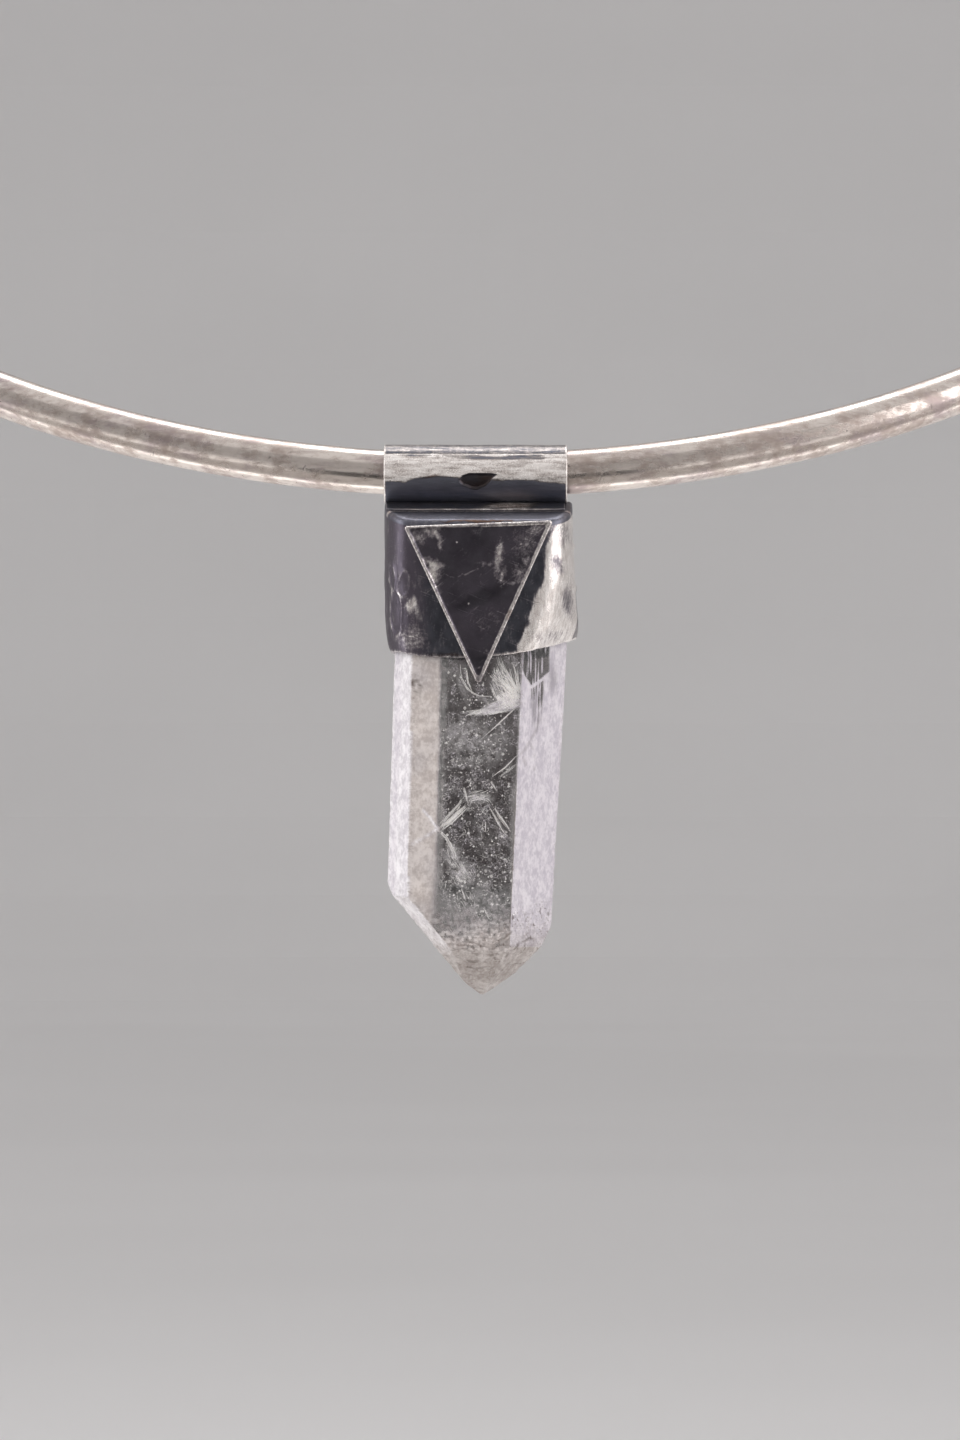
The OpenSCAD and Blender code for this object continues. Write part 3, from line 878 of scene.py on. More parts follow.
# Rubbed patches on the plate: middle, half sizes, turn and strength
PLATE_PATCHES = [
    ((-3.9, -4.35), (0.55, 0.40), 0, 0.30),
    ((-2.75, -4.15), (0.60, 0.30), -35, 0.55),
    ((-2.35, -4.75), (0.24, 0.55), 10, 0.50),
    ((-2.85, -6.10), (0.75, 0.28), -10, 0.62),
    ((-2.75, -6.85), (0.40, 0.85), 12, 0.66),
    ((-2.45, -7.9), (0.25, 0.6), 20, 0.40),
    ((1.55, -5.6), (0.26, 1.05), -4, 0.62),
    ((1.80, -6.9), (0.22, 0.55), -12, 0.50),
    ((2.3, -7.35), (0.55, 0.14), 12, 0.45),
    ((0.7, -6.05), (0.75, 0.16), 8, 0.35),
    ((3.2, -4.7), (0.75, 0.95), 0, 0.40),
    ((3.9, -3.95), (0.55, 0.35), 0, 0.38),
    ((3.0, -6.9), (0.50, 0.55), 30, 0.40),
    ((3.45, -6.0), (0.35, 0.35), 60, 0.45),
    ((1.0, -9.9), (1.3, 0.8), 10, 0.24),
    ((0.9, -12.0), (0.25, 0.4), 60, 0.35),
]
PLATE_SCRATCHES = [
    [(-2.17, -6.93), (-1.23, -7.02), (-0.49, -6.84), (0.07, -6.55), (0.45, -6.27)],
    [(0.37, -7.35), (0.55, -7.55), (0.75, -7.5)],
    [(-0.35, -12.95), (0.1, -13.08), (0.55, -12.95)],
]
PLATE_DOTS = [(-1.23, -4.70), (3.02, -4.82), (-0.45, -8.75)]


def add_plate(material):
    corners = np.array([(-PLATE_W / 2, -0.035 * PLATE_H), (0, -PLATE_H), (PLATE_W / 2, 0)])
    outline = rounded_outline(corners, [0.15, 0.2, 0.15], 0.1)
    sides = len(outline)
    # Every ring keeps the triangle's shape about the point that is as far from all three sides
    a, b, c = corners
    lengths = np.array([np.linalg.norm(b - c), np.linalg.norm(c - a), np.linalg.norm(a - b)])
    heart = lengths @ corners / lengths.sum()
    inradius = abs((b - a)[0] * (c - a)[1] - (b - a)[1] * (c - a)[0]) / lengths.sum()
    back_y = -CAP_DEPTH + SHEET / 2
    crest_y = -CAP_DEPTH - PLATE_T
    profile = [(0.0, back_y)]
    profile += [(inset, crest_y + sunk) for inset, sunk in RIM_PROFILE]
    profile += [(inset, crest_y + 0.06) for inset in np.linspace(0.36, inradius * 0.985, 44)]
    inset, depth = (np.array(column)[:, None] + np.zeros(sides) for column in zip(*profile))
    ring = heart + (outline - heart) * (1 - inset / inradius)[..., None]
    points = np.stack([ring[..., 0] + CAP_X, depth, ring[..., 1] + CAP_TOP_Z], axis=-1)
    # The rim is hand-filed, so its width wanders; the face is a little hollow and dented
    wander = rough_noise(points, 1.3, 81)
    face = ramp(inset, 0.22, 0.34)
    points[..., 1] += face * (0.015 + 0.012 * rough_noise(points, 1.4, 83))
    points[..., 1] += (1 - face) * (inset > 0) * 0.008 * np.abs(wander)
    fine = rough_noise(points, 0.4, 85)
    x = points[..., 0] + 0.22 * rough_noise(points, 0.6, 88)
    z = points[..., 2] + 0.30 * rough_noise(points, 0.6, 89)
    width = 0.19 + 0.05 * wander + 0.07 * ramp(x - CAP_X, 0.0, 0.4)
    rim = 1 - ramp(inset, width - 0.03, width + 0.05)
    wisp = rough_noise(points * [1, 1, 0.5], 0.45, 86)
    smoke = ramp(rough_noise(points, 1.3, 84, 4), 0.0, 0.7)
    wear_and_painted_light = patches(x, z, PLATE_PATCHES, 0.6 * fine) * (0.9 + 0.7 * wisp)
    wear_and_painted_light = wear_and_painted_light + 0.04 + 0.09 * fine + (0.04 + 0.22 * smoke) * ramp(z, -10.5, -7)
    scratches = 0.45 * strokes(x, z, PLATE_SCRATCHES, 0.02, 0.09) * (0.6 + 1.2 * fine)
    from_dots = (np.hypot(points[..., 0] - at[0], points[..., 2] - at[1]) for at in PLATE_DOTS)
    wear_and_painted_light = highest(wear_and_painted_light, scratches, 1 - ramp(reduce(np.minimum, from_dots), 0.03, 0.10))
    violet = 0.35 + 0.4 * rough_noise(points, 1.6, 87, 2)
    masks = {
        "wear_and_painted_light": np.maximum(wear_and_painted_light * (1 - rim), rim * (0.80 - 0.25 * ramp(wander, 0.3, 0.9))),
        "stain": 0.75 * rim * spot(x, z, (2.2, -9.5), (0.5, 0.9), 60, 0.5),
        "violet": violet * (1 - 0.9 * spot(x, z, (0.2, -8.4), (1.6, 0.45), 22, 0.6)),
    }
    ends = [[CAP_X + heart[0], y, CAP_TOP_Z + heart[1]] for y in (back_y, crest_y + 0.075)]
    add_piece(
        "cap_plate", np.vstack([points.reshape(-1, 3), ends]), capped_faces(*inset.shape), "pendant",
        material, ["setting"], masks, rest=0.1,
    )


# Crystal

def stone_planes():
    """The stone's twelve faces as outward normals and distances, in its own upright frame."""
    faces = [(facing, math.radians(flare), off, 0) for facing, off, flare, _ in STONE_FACES]
    faces += [(facing, POINT_SLANT, off, STONE_SHOW) for facing, _, _, off in STONE_FACES]
    normals, offs = [], []
    for facing, lean, off, drop in faces:
        facing = math.radians(facing)
        out = math.cos(lean)
        normals.append([out * math.cos(facing), out * math.sin(facing), -math.sin(lean)])
        offs.append(off * out + drop * math.sin(lean))
    return np.array(normals), np.array(offs)


def stone_apex(normals, offs):
    """The lowest corner where three of the end faces meet."""
    corners = []
    for trio in combinations(range(6, 12), 3):
        matrix = normals[[*trio]]
        if abs(np.linalg.det(matrix)) > 1e-6:
            corner = np.linalg.solve(matrix, offs[[*trio]])
            if (normals @ corner <= offs + 1e-6).all():
                corners.append(corner)
    return min(corners, key=lambda corner: corner[2])


def stone_to_bail(points):
    """From the stone's upright frame to the bail's, where the stone leans to the left going down."""
    x, y, z = np.moveaxis(points, -1, 0)
    lean_cos, lean_sin = math.cos(STONE_LEAN), math.sin(STONE_LEAN)
    x, z = STONE_X + x * lean_cos + z * lean_sin, RIM_Z - x * lean_sin + z * lean_cos
    return np.stack([x, STONE_Y + y, z], axis=-1)


TIP_WEAR = 0.15
# Cloudy places on the window, and feathered ones: middle, half sizes, turn and strength
HAZE = [
    ((-0.5, -17.6), (1.9, 0.95), 0, 0.24),
    ((0.3, -18.9), (1.6, 0.5), 10, 0.16),
    ((-1.4, -13.4), (0.9, 1.3), 0, 0.08),
    ((-0.9, -26.6), (0.95, 0.6), -62, 0.34),
    ((-1.5, -25.4), (0.5, 0.5), -60, 0.26),
    ((0.2, -21.6), (0.8, 0.25), 0, 0.30),
    ((0.4, -28.9), (1.5, 0.8), 0, 0.26),
]
FEATHER_ZONES = [
    ((1.80, -14.10), (0.75, 1.30), -18, 0.24),
    ((2.10, -15.10), (0.95, 0.50), 10, 0.50),
    ((0.80, -15.10), (0.50, 0.20), -8, 0.45),
    ((-0.95, -13.9), (0.22, 1.25), 18, 0.34),
]
# Foot and top of the white wedge: places across and heights
WEDGE_FOOT = ([-0.4, 2.7], [-16.2, -15.66])
WEDGE_TOP = ([-0.4, 1.2, 2.9], [-16.15, -15.25, -14.85])
# Etched lines that wander over the foot of the front face
FOOT_LINES = [
    [(-0.86, -31.52), (-0.40, -31.70), (-0.05, -31.88), (0.45, -31.90), (0.92, -31.96), (1.48, -31.84)],
    [(-0.54, -30.96), (0.05, -31.20), (0.43, -31.40), (1.08, -31.56), (1.75, -31.35), (2.25, -30.85)],
    [(-1.20, -31.25), (-0.60, -31.30), (-0.10, -31.55)],
    [(-0.75, -32.20), (-0.20, -32.45), (0.60, -32.40), (1.30, -32.15)],
    [(-0.50, -32.75), (0.10, -32.95), (0.70, -32.80)],
    [(1.20, -31.10), (1.80, -30.95), (2.40, -30.40)],
    [(1.60, -32.40), (2.20, -31.90), (2.90, -31.30), (3.60, -30.90)],
]
# Faint grey cracks in the right face
FACE_LINES = [
    [(4.27, -16.00), (4.20, -16.60), (4.05, -17.10), (3.63, -17.85), (3.30, -18.35), (2.98, -18.70)],
    [(3.63, -17.85), (3.85, -18.50), (3.95, -19.20), (3.92, -19.70)],
    [(3.20, -18.90), (3.35, -19.40)],
]
DARK_CRACKS = [
    [(-4.25, -13.6), (-4.15, -14.1), (-3.95, -14.6)],
    [(-3.95, -13.8), (-3.70, -14.1), (-3.60, -14.25)],
]
STRIPE_CRACKS = [
    [(-2.4, -23.75), (-2.97, -22.96), (-3.45, -22.39)],
    [(-2.4, -23.55), (-3.29, -24.16), (-4.2, -24.65)],
]


def slanted(points, turn):
    """Points in axes turned on the front, squeezed along them, so that noise draws out into needles."""
    turn = math.radians(turn)
    x, y, z = np.moveaxis(points, -1, 0)
    along = x * math.cos(turn) + z * math.sin(turn)
    across = z * math.cos(turn) - x * math.sin(turn)
    return np.stack([0.12 * along, across, y], axis=-1)


def add_crystal(material):
    normals, offs = stone_planes()
    apex = stone_apex(normals, offs)
    angle = np.linspace(-math.pi, math.pi, 330, endpoint=False)
    # More of the points go to the front
    angle = angle - 0.42 * np.cos(angle)
    root = np.linspace(STONE_ROOT - 0.05, 0.6, 8)
    shaft = np.linspace(0.4, -16.0, 150)
    point = np.linspace(-16.1, apex[2] + 0.12, 92)
    levels = np.concatenate([root, shaft, point, apex[2] + np.array([0.08, 0.05, 0.025])])
    level, turn = np.meshgrid(levels, angle, indexing="ij")
    head = circle(1, turn)

    def surface(radius, level):
        return np.dstack([apex[:2] + radius[..., None] * head, level])

    inverse = []
    for normal, off in zip(normals, offs):
        room = off - normal[:2] @ apex[:2] - normal[2] * level
        inverse.append(np.clip(head @ normal[:2], 0, None) / np.maximum(room, 1e-6))
    second, first = np.sort(inverse, axis=0)[-2:]
    power = 150
    radius = 1 / (first * ((inverse / first) ** power).sum(axis=0) ** (1 / power))
    from_edge = (1 - second / first) * radius
    face = np.argmax(inverse, axis=0)
    on_end = face >= 6
    front, right, back_right, back, left = (
        face % 6 == side for side in (FRONT, FRONT_RIGHT, BACK_RIGHT, BACK, FRONT_LEFT)
    )
    in_window = front & ~on_end
    # Chips along the edges, growth lines across the faces, and an etched, uneven end
    here = surface(radius, level)
    chip = 0.09 * ramp(rough_noise(here, 0.8, 91), 0.15, 0.7) * bell(from_edge, 0.12)
    grow = 0.008 + 0.010 * value_noise(here * [0.2, 0.2, 1], 0.30, 95)
    # Growth steps run round the end like the lines of a map
    climb = (0.55 * rough_noise(here, 1.5, 98) - level) / 0.50
    step = climb - np.floor(climb)
    terrace = 0.030 * ramp(step, 0.0, 0.25) * (1 - ramp(step, 0.25, 1.0))
    etch = 0.03 + 0.030 * rough_noise(here * [0.5, 0.5, 1], 0.7, 97) + terrace
    radius = np.maximum(radius - chip - np.where(on_end, etch, grow), radius * 0.5)
    # The tip is worn blunt
    points = stone_to_bail(surface(radius, apex[2] + np.hypot(level - apex[2], TIP_WEAR)))
    # The hidden root keeps between the cap's two sides
    up = points[..., 2] - RIM_Z
    share = np.clip(up / (CAP_H + ROOF_DROP), 0, 1)
    root_top = CAP_W / 2 - SHEET - CAP_CLEAR
    low, high = (
        CAP_X + side * (stone_reach(side) + (root_top - stone_reach(side)) * share - 0.01) for side in (-1, 1)
    )
    points[..., 0] = np.where(up > 0, np.clip(points[..., 0], low, high), points[..., 0])

    x, y, z = np.moveaxis(points, -1, 0)
    down = -z
    rough = rough_noise(points, 1.4, 101)
    fine = rough_noise(points, 0.35, 103)
    grains = rough_noise(points, 0.16, 112)
    # The front's milky stripe, beside the left edge: a painted reflection, frost and beige on the front face
    # that stand for light reflected inside the stone off its frosted back-left face
    stripe_edge = np.interp(down, [12, 18, 28, 31], [-2.28, -2.35, -2.62, -2.80])
    soft = np.interp(down, [12, 13.5, 24, 29], [0.16, 0.13, 0.17, 0.55])
    milky_stripe_reflection = (1 - ramp((x - stripe_edge + 0.05 * fine + 0.12 * rough) / soft, -1, 1)) * in_window
    # Haze inside the window: clouds, feathers, a white wedge under them, and a line along the stripe
    needles = rough_noise(slanted(points, -60), 0.13, 111)
    rays = rough_noise(slanted(points, -66), 0.34, 117, 2)
    ray = (0.75 + 0.9 * needles) * (0.35 + 0.65 * ramp(rays, -0.35, 0.15))
    level_needles = rough_noise(slanted(points, 13), 0.13, 116)
    wedge = ramp(z - np.interp(x, *WEDGE_FOOT) + 0.12 * level_needles, -0.05, 0.12)
    wedge *= ramp(np.interp(x, *WEDGE_TOP) - z + 0.16 * level_needles, -0.05, 0.25) * ramp(x, -0.45, -0.2)
    by_stripe = bell(x - stripe_edge - 0.20 + 0.10 * fine, 0.20) * in_window
    haze = highest(
        patches(x, z, HAZE, 0.4 * rough) * (0.7 + 1.3 * grains),
        patches(x, z, FEATHER_ZONES, 0.7 * needles + 0.6 * rays) * ray,
        0.55 * wedge * (0.75 + 0.9 * level_needles),
        by_stripe * (0.20 + 0.35 * grains),
    )
    # Clouding towards the point
    low_cloud = ramp(down + 1.3 * rough, 25.8, 31.9) ** 1.2
    blots = ramp(value_noise(points, 0.55, 114), 0.25, 0.75)
    at_foot = ramp(down + 0.4 * rough, 30.0, 31.3)
    mottled = (0.66 + 0.22 * at_foot + 0.8 * grains - 0.30 * blots) * low_cloud
    frost = highest(
        np.select([on_end, front | back], [0.88, 0.0], 0.95),
        (0.78 + 0.16 * rough) * milky_stripe_reflection,
        haze * in_window,
        np.clip(mottled, 0, 0.92) * front,
        0.7 * ramp(down + 1.5 * rough, 25.5, 31.5) * (back & ~on_end),
    )
    # Clear, streaked place near the cap on the right face, cut off by a white vein and a thin diagonal line
    streak = value_noise(points * [1, 1, 0.10], 0.15, 105) + 0.3 * fine
    past_vein = x - np.interp(down, [12, 12.8, 13.5, 14.1], [2.85, 2.98, 3.22, 3.60]) + 0.12 * rough
    diagonal = z - np.interp(x, [3.5, 4.2, 4.9], [-14.32, -13.88, -13.28])
    above = ramp(past_vein, 0, 0.14) * ramp(5.02 - x + 0.12 * rough, 0, 0.2) * ramp(diagonal, 0.0, 0.12)
    below = ramp(x - 3.62, 0, 0.14) * ramp(4.60 - x + 0.1 * rough, 0, 0.2) * ramp(-0.12 - diagonal, 0, 0.1)
    below *= 1 - ramp(down + 0.9 * value_noise(points * [1, 1, 0], 0.22, 107), 14.4, 15.9)
    trails = 0.45 * spot(x, z, (4.08, -15.4), (0.42, 1.7), 0, 0.5) * ramp(-streak, -0.05, 0.3)
    clear = highest(above, below, trails * (diagonal < -0.12)) * (right & ~on_end)
    frost *= 1 - clear * (0.95 - 0.75 * ramp(streak, 0.12, 0.50))
    frost *= 1 - 0.35 * spot(x, z, (5.15, -13.7), (0.30, 0.95), 0, 0.7, 0.4 * fine) * right
    # Brown tinge along the window's right side
    tinge = ramp(x - np.interp(down, [12, 32], [2.35, 2.0]), 0.0, 0.45) * ramp(down, 19, 23) * in_window
    frost = highest(frost, 0.8 * bell(from_edge, 0.10) * (0.6 + 0.4 * fine), tinge * (0.22 + 0.2 * fine))
    strip = on_end * left * (1 - ramp(down + 0.6 * rough, 29.8, 32.6))
    beige = highest(
        (0.78 + 0.3 * rough) * on_end * (1 - 0.7 * strip),
        (0.82 + 0.3 * rough) * milky_stripe_reflection,
        (0.5 + 0.3 * at_foot) * low_cloud * front,
    )
    bands = value_noise(points * [1, 1, 0.08], 0.45, 106)
    grey_side = bell(x - np.interp(down, [12, 28], [-5.10, -5.52]) + 0.15 * rough, 0.20)
    # Lilac tint, strongest on the right face, where its darker colour is painted shade on a face that gets
    # less light
    lilac_and_shade = np.select(
        [on_end, right, back_right, in_window],
        [0.1, 0.85 + 0.2 * rough, 0.6, 0.6],
        0.06 + 0.25 * ramp(bands, 0.0, 0.8) + 0.6 * grey_side,
    )
    # The end faces are painted darker towards the point: painted shade on faces that look down. This tint
    # also darkens the window's low cloud, the right face towards the point, the brown tinge, the line by the
    # stripe and a dark spot
    near_point = 0.45 + 0.45 * ramp(down + 0.7 * rough, 30.9, 33.0) + 0.25 * rough
    dull = highest(
        near_point * on_end * (1 - strip),
        0.40 * low_cloud * (1 - milky_stripe_reflection) * in_window,
        0.45 * ramp(down + 0.6 * rough, 29.3, 31.9) * (right & ~on_end),
        tinge,
        0.7 * by_stripe * (1 - milky_stripe_reflection),
        0.6 * spot(x, z, (-3.72, -14.55), (0.14, 0.35), 10, 0.6) * in_window,
    )
    # Dark cracks and crumbs along the stripe, faint cracks in the right face, and lines round the end
    faint = 0.24 * strokes(x + 0.08 * fine, z + 0.08 * fine, FACE_LINES, 0.03, 0.16) * right
    crumbs = 0.6 * ramp(value_noise(points, 0.18, 113), 0.66, 0.86) * bell(from_edge, 0.35)
    specked = np.where(right, 0.75, 0.45) * ramp(value_noise(points, 0.15, 115), 0.50, 0.72)
    on_foot = ramp(down + rough, 28.2, 29.4) * (1 - ramp(down, 31.5, 32.6)) * ~back
    contour = 0.60 * (1 - ramp(np.abs(step - 0.15), 0.0, 0.18)) * ramp(fine, -0.3, 0.5) * ~back
    foot_lines = 0.62 * strokes(x + 0.10 * fine, z + 0.16 * fine + 0.06 * grains, FOOT_LINES, 0.02, 0.12)
    dirt = highest(
        0.8 * strokes(x + 0.04 * fine, z, DARK_CRACKS, 0.02, 0.09) * in_window,
        faint * ramp(rough + fine, -0.6, 0.2),
        crumbs * ramp(down, 24, 28),
        specked * on_foot,
        contour * ramp(down + 0.5 * rough, 30.6, 31.6),
        foot_lines * ramp(rough + 0.8 * fine, -0.5, 0.2) * (y < 0),
    )
    # Two arms of a crack cross the stripe
    for arm in STRIPE_CRACKS:
        on_arm = strokes(x + 0.06 * fine, z, [arm], 0.04, 0.13)
        on_arm = on_arm * (0.5 + 0.5 * ramp(grains + 0.5 * fine, -0.6, 0.1))
        beige = beige * (1 - on_arm)
        lilac_and_shade = lilac_and_shade * (1 - on_arm)
        frost = np.maximum(frost, on_arm)
    # Pits and etched lines round the end
    pitted = np.where(on_end, 0.85, ramp(down + 0.9 * rough, 28.0, 29.6) * ~back) * (1 - 0.6 * strip)
    masks = {
        "frost": frost,
        "beige": beige,
        "fleck": (0.75 + 0.4 * rough) * ((front | back) & ~on_end) * (1 - milky_stripe_reflection),
        "pitted": np.maximum(pitted, 0.9 * bell(from_edge, 0.25) * (frost > 0.3)),
        "lilac_and_shade": lilac_and_shade,
        "dull": dull,
        "dirt": dirt,
    }
    ends = stone_to_bail(np.array([[*apex[:2], STONE_ROOT - 0.05], apex + [0, 0, TIP_WEAR]]))
    add_piece(
        "crystal_point", np.vstack([points.reshape(-1, 3), ends]), capped_faces(*level.shape), "pendant",
        material, ["crystal"], masks, rest=0.8,
    )


# Cracks inside the stone: path on the front, depth behind the front face, width and number of strands
CRACKS = [
    ([(-1.03, -12.75), (-0.99, -13.56), (-0.54, -14.37), (-0.05, -14.73), (0.35, -14.89), (1.07, -14.89)],
     0.25, 0.10, 5),
    ([(-0.62, -12.95), (-0.50, -13.9), (-0.25, -14.5)], 0.30, 0.14, 5),
    ([(3.17, -15.02), (2.45, -15.82), (1.23, -16.95), (0.35, -17.68)], 0.35, 0.08, 4),
    ([(2.93, -18.65), (2.05, -19.54), (1.07, -20.26)], 0.4, 0.12, 6),
    ([(2.9, -19.25), (2.2, -19.75), (1.5, -20.2)], 0.6, 0.10, 3),
    ([(-2.50, -23.50), (-1.9, -22.9), (-1.2, -22.15), (-0.62, -21.45)], 0.3, 0.16, 7),
    ([(-2.30, -23.62), (-1.7, -23.15), (-1.1, -22.6), (-0.60, -22.10)], 0.3, 0.34, 22),
    ([(-0.78, -20.85), (-0.66, -21.3), (-0.50, -21.9)], 0.3, 0.10, 5),
    ([(-0.50, -22.15), (-0.30, -21.75), (0.27, -21.60), (0.75, -21.70), (1.00, -21.95)], 0.4, 0.16, 10),
    ([(0.80, -21.95), (1.25, -22.75), (1.60, -23.4), (2.05, -24.1)], 0.45, 0.13, 7),
    ([(1.15, -22.15), (1.55, -22.8), (1.95, -23.3), (2.30, -23.85)], 0.45, 0.16, 8),
    ([(-2.48, -23.76), (-1.95, -24.20), (-1.60, -24.9), (-1.25, -25.7)], 0.35, 0.22, 10),
    ([(-1.68, -24.45), (-1.50, -24.9)], 0.25, 0.10, 5),
    ([(-1.25, -25.7), (-0.9, -26.3), (-0.54, -26.9)], 0.45, 0.45, 9),
    ([(-1.15, -26.75), (-1.05, -27.1), (-0.75, -27.12)], 0.3, 0.08, 4),
    ([(-0.95, -27.55), (-0.80, -27.9), (-0.62, -28.45)], 0.3, 0.09, 5),
    ([(0.67, -23.20), (0.67, -23.80)], 0.2, 0.05, 3),
    ([(0.95, -20.4), (1.45, -21.2)], 0.5, 0.10, 3),
    ([(0.6, -28.9), (0.95, -29.6)], 0.3, 0.16, 4),
]
# Feathers of fine needles: middle on the front, half sizes, turn of the needles, number and length
FEATHERS = [
    ((1.80, -14.20), (0.75, 1.00), -62, 90, 0.80),
    ((2.15, -15.10), (0.72, 0.45), -50, 170, 0.60),
    ((0.60, -15.90), (1.10, 0.13), 12, 90, 1.10),
    ((1.90, -15.42), (0.90, 0.28), 18, 120, 0.80),
    ((1.55, -13.10), (0.40, 0.60), -75, 40, 0.60),
    ((-2.05, -23.3), (0.35, 0.25), 45, 16, 0.50),
    ((-0.75, -22.3), (0.45, 0.18), 52, 14, 0.60),
    ((-1.45, -25.6), (0.40, 0.55), -60, 26, 0.55),
    ((-0.9, -26.8), (0.65, 0.40), -35, 40, 0.45),
    ((0.2, -21.35), (0.70, 0.25), 15, 26, 0.50),
    ((-1.9, -27.3), (0.5, 0.6), 70, 16, 0.40),
    ((-0.5, -28.4), (0.9, 0.6), -60, 26, 0.45),
]
# Fans of needles: the place they leave, first and last direction, nearest and farthest reach, number
FANS = [
    ((3.00, -15.00), (98, 150), (0.7, 2.5), 80),
    ((2.95, -15.05), (150, 200), (0.5, 1.6), 36),
]


def ribbon(path, half, spin):
    """A thin three-sided rod along a path of points."""
    count = len(path)
    thick = half * np.sin(math.pi * (np.arange(count) + 0.6) / (count + 0.2)) ** 0.5
    turn = spin + 2 * math.pi * np.arange(3) / 3
    round_path = np.column_stack([np.cos(turn), 0.6 * np.sin(turn), np.sin(turn)])
    points = path[:, None] + thick[:, None, None] * round_path
    faces = grid_faces(count, 3) + [(0, 1, 2), (3 * count - 1, 3 * count - 2, 3 * count - 3)]
    return points.reshape(-1, 3).tolist(), faces


def bowed(at, lean, share, bow):
    """Places across and heights of a needle that leaves a place at an angle and bows sideways."""
    x = at[0] + share * math.cos(lean) - bow * math.sin(lean)
    z = at[1] + share * math.sin(lean) + bow * math.cos(lean)
    return x, z


def add_cracks(material, rng):
    """Bundles of strands along each crack; every strand covers its own part of the way."""
    points, faces = [], []

    def add_strand(x, y, z, half):
        some, links = ribbon(np.column_stack([x, FRONT_FACE_Y + y, z]), half, rng.random() * 6)
        faces.extend(tuple(v + len(points) for v in link) for link in links)
        points.extend(some)

    for path, depth, width, strands in CRACKS:
        path = np.array(path, float)
        travelled = np.append(0, np.cumsum(np.hypot(*np.diff(path, axis=0).T)))
        for strand in range(strands):
            first, last = 0.30 * rng.random(), 1 - 0.30 * rng.random()
            if strand == 0:
                first, last = 0, 1
            share = np.linspace(first, last, 12) * travelled[-1]
            route = np.column_stack([np.interp(share, travelled, path[:, k]) for k in (0, 1)])
            run = np.gradient(route, axis=0)
            run /= np.hypot(*run.T)[:, None]
            offset = width * (rng.random() - 0.5) + 0.02 * (rng.random(12) - 0.5)
            x, z = (route + offset[:, None] * np.column_stack([-run[:, 1], run[:, 0]])).T
            y = depth + (0.1 + 0.5 * width) * rng.random() + 0 * share
            add_strand(x, y, z, 0.012 + 0.022 * rng.random() ** 2)
    for at, size, turn, number, length in FEATHERS:
        for _ in range(number):
            out = math.sqrt(rng.random())
            around = 2 * math.pi * rng.random()
            middle = (at[0] + out * size[0] * math.cos(around), at[1] + out * size[1] * math.sin(around))
            lean = math.radians(turn + 9 * rng.standard_normal())
            reach = 0.5 * length * (0.35 + 0.9 * rng.random())
            share = np.linspace(-1, 1, 5)
            bow = 0.06 * reach * (rng.random() - 0.5) * (1 - share**2) * 4
            x, z = bowed(middle, lean, reach * share, bow)
            y = 0.12 + 0.7 * rng.random() ** 1.5 + 0.25 * share * reach
            add_strand(x, y, z, 0.008 + 0.020 * rng.random() ** 3)
    for at, turns, reaches, number in FANS:
        for _ in range(number):
            lean = math.radians(turns[0] + (turns[1] - turns[0]) * rng.random())
            first = reaches[0] * rng.random()
            share = np.linspace(first, first + (reaches[1] - first) * (0.3 + 0.7 * rng.random()), 6)
            bow = 0.10 * (rng.random() - 0.5) * share**2
            x, z = bowed(at + 0.12 * rng.standard_normal(2), lean, share, bow)
            y = 0.12 + 0.5 * rng.random() + 0.12 * share
            add_strand(x, y, z, 0.009 + 0.022 * rng.random() ** 3)
    # Curled threads all through the window
    for _ in range(340):
        across = -2.5 + 4.85 * rng.random()
        height = -16.4 - 14.5 * rng.random()
        across -= 0.03 * (height + 20)
        reach = 0.05 + 0.16 * rng.random() ** 2
        turn = 2 * math.pi * rng.random() + np.linspace(0, 1.2 + 3.2 * rng.random(), 9)
        x = across + reach * np.cos(turn) * (1 + 0.4 * rng.random())
        z = height + reach * np.sin(turn)
        y = 0.10 + 0.9 * rng.random() ** 2 + 0.05 * np.sin(turn)
        add_strand(x, y, z, 0.009 + 0.009 * rng.random())
    add_piece("crystal_cracks", points, faces, "pendant", material)


def add_specks(material, rng):
    """Small bubbles and flakes behind the clear front face."""
    points, faces = [], []
    corners = np.vstack([np.eye(3), -np.eye(3)])
    sides = [(0, 1, 2), (1, 3, 2), (3, 4, 2), (4, 0, 2), (1, 0, 5), (3, 1, 5), (4, 3, 5), (0, 4, 5)]
    for _ in range(1400):
        z = -13.0 - 17.0 * rng.random()
        x = -2.5 + 4.8 * rng.random() - 0.03 * (z + 20)
        y = FRONT_FACE_Y + 0.12 + 2.6 * rng.random() ** 2
        size = (0.022 + 0.085 * rng.random() ** 4) * np.array([1, 0.6, 1]) * (0.6 + 0.8 * rng.random(3))
        faces += [tuple(v + len(points) for v in side) for side in sides]
        points += list(np.array([x, y, z]) + corners * size)
    add_piece("crystal_specks", points, faces, "pendant", material)


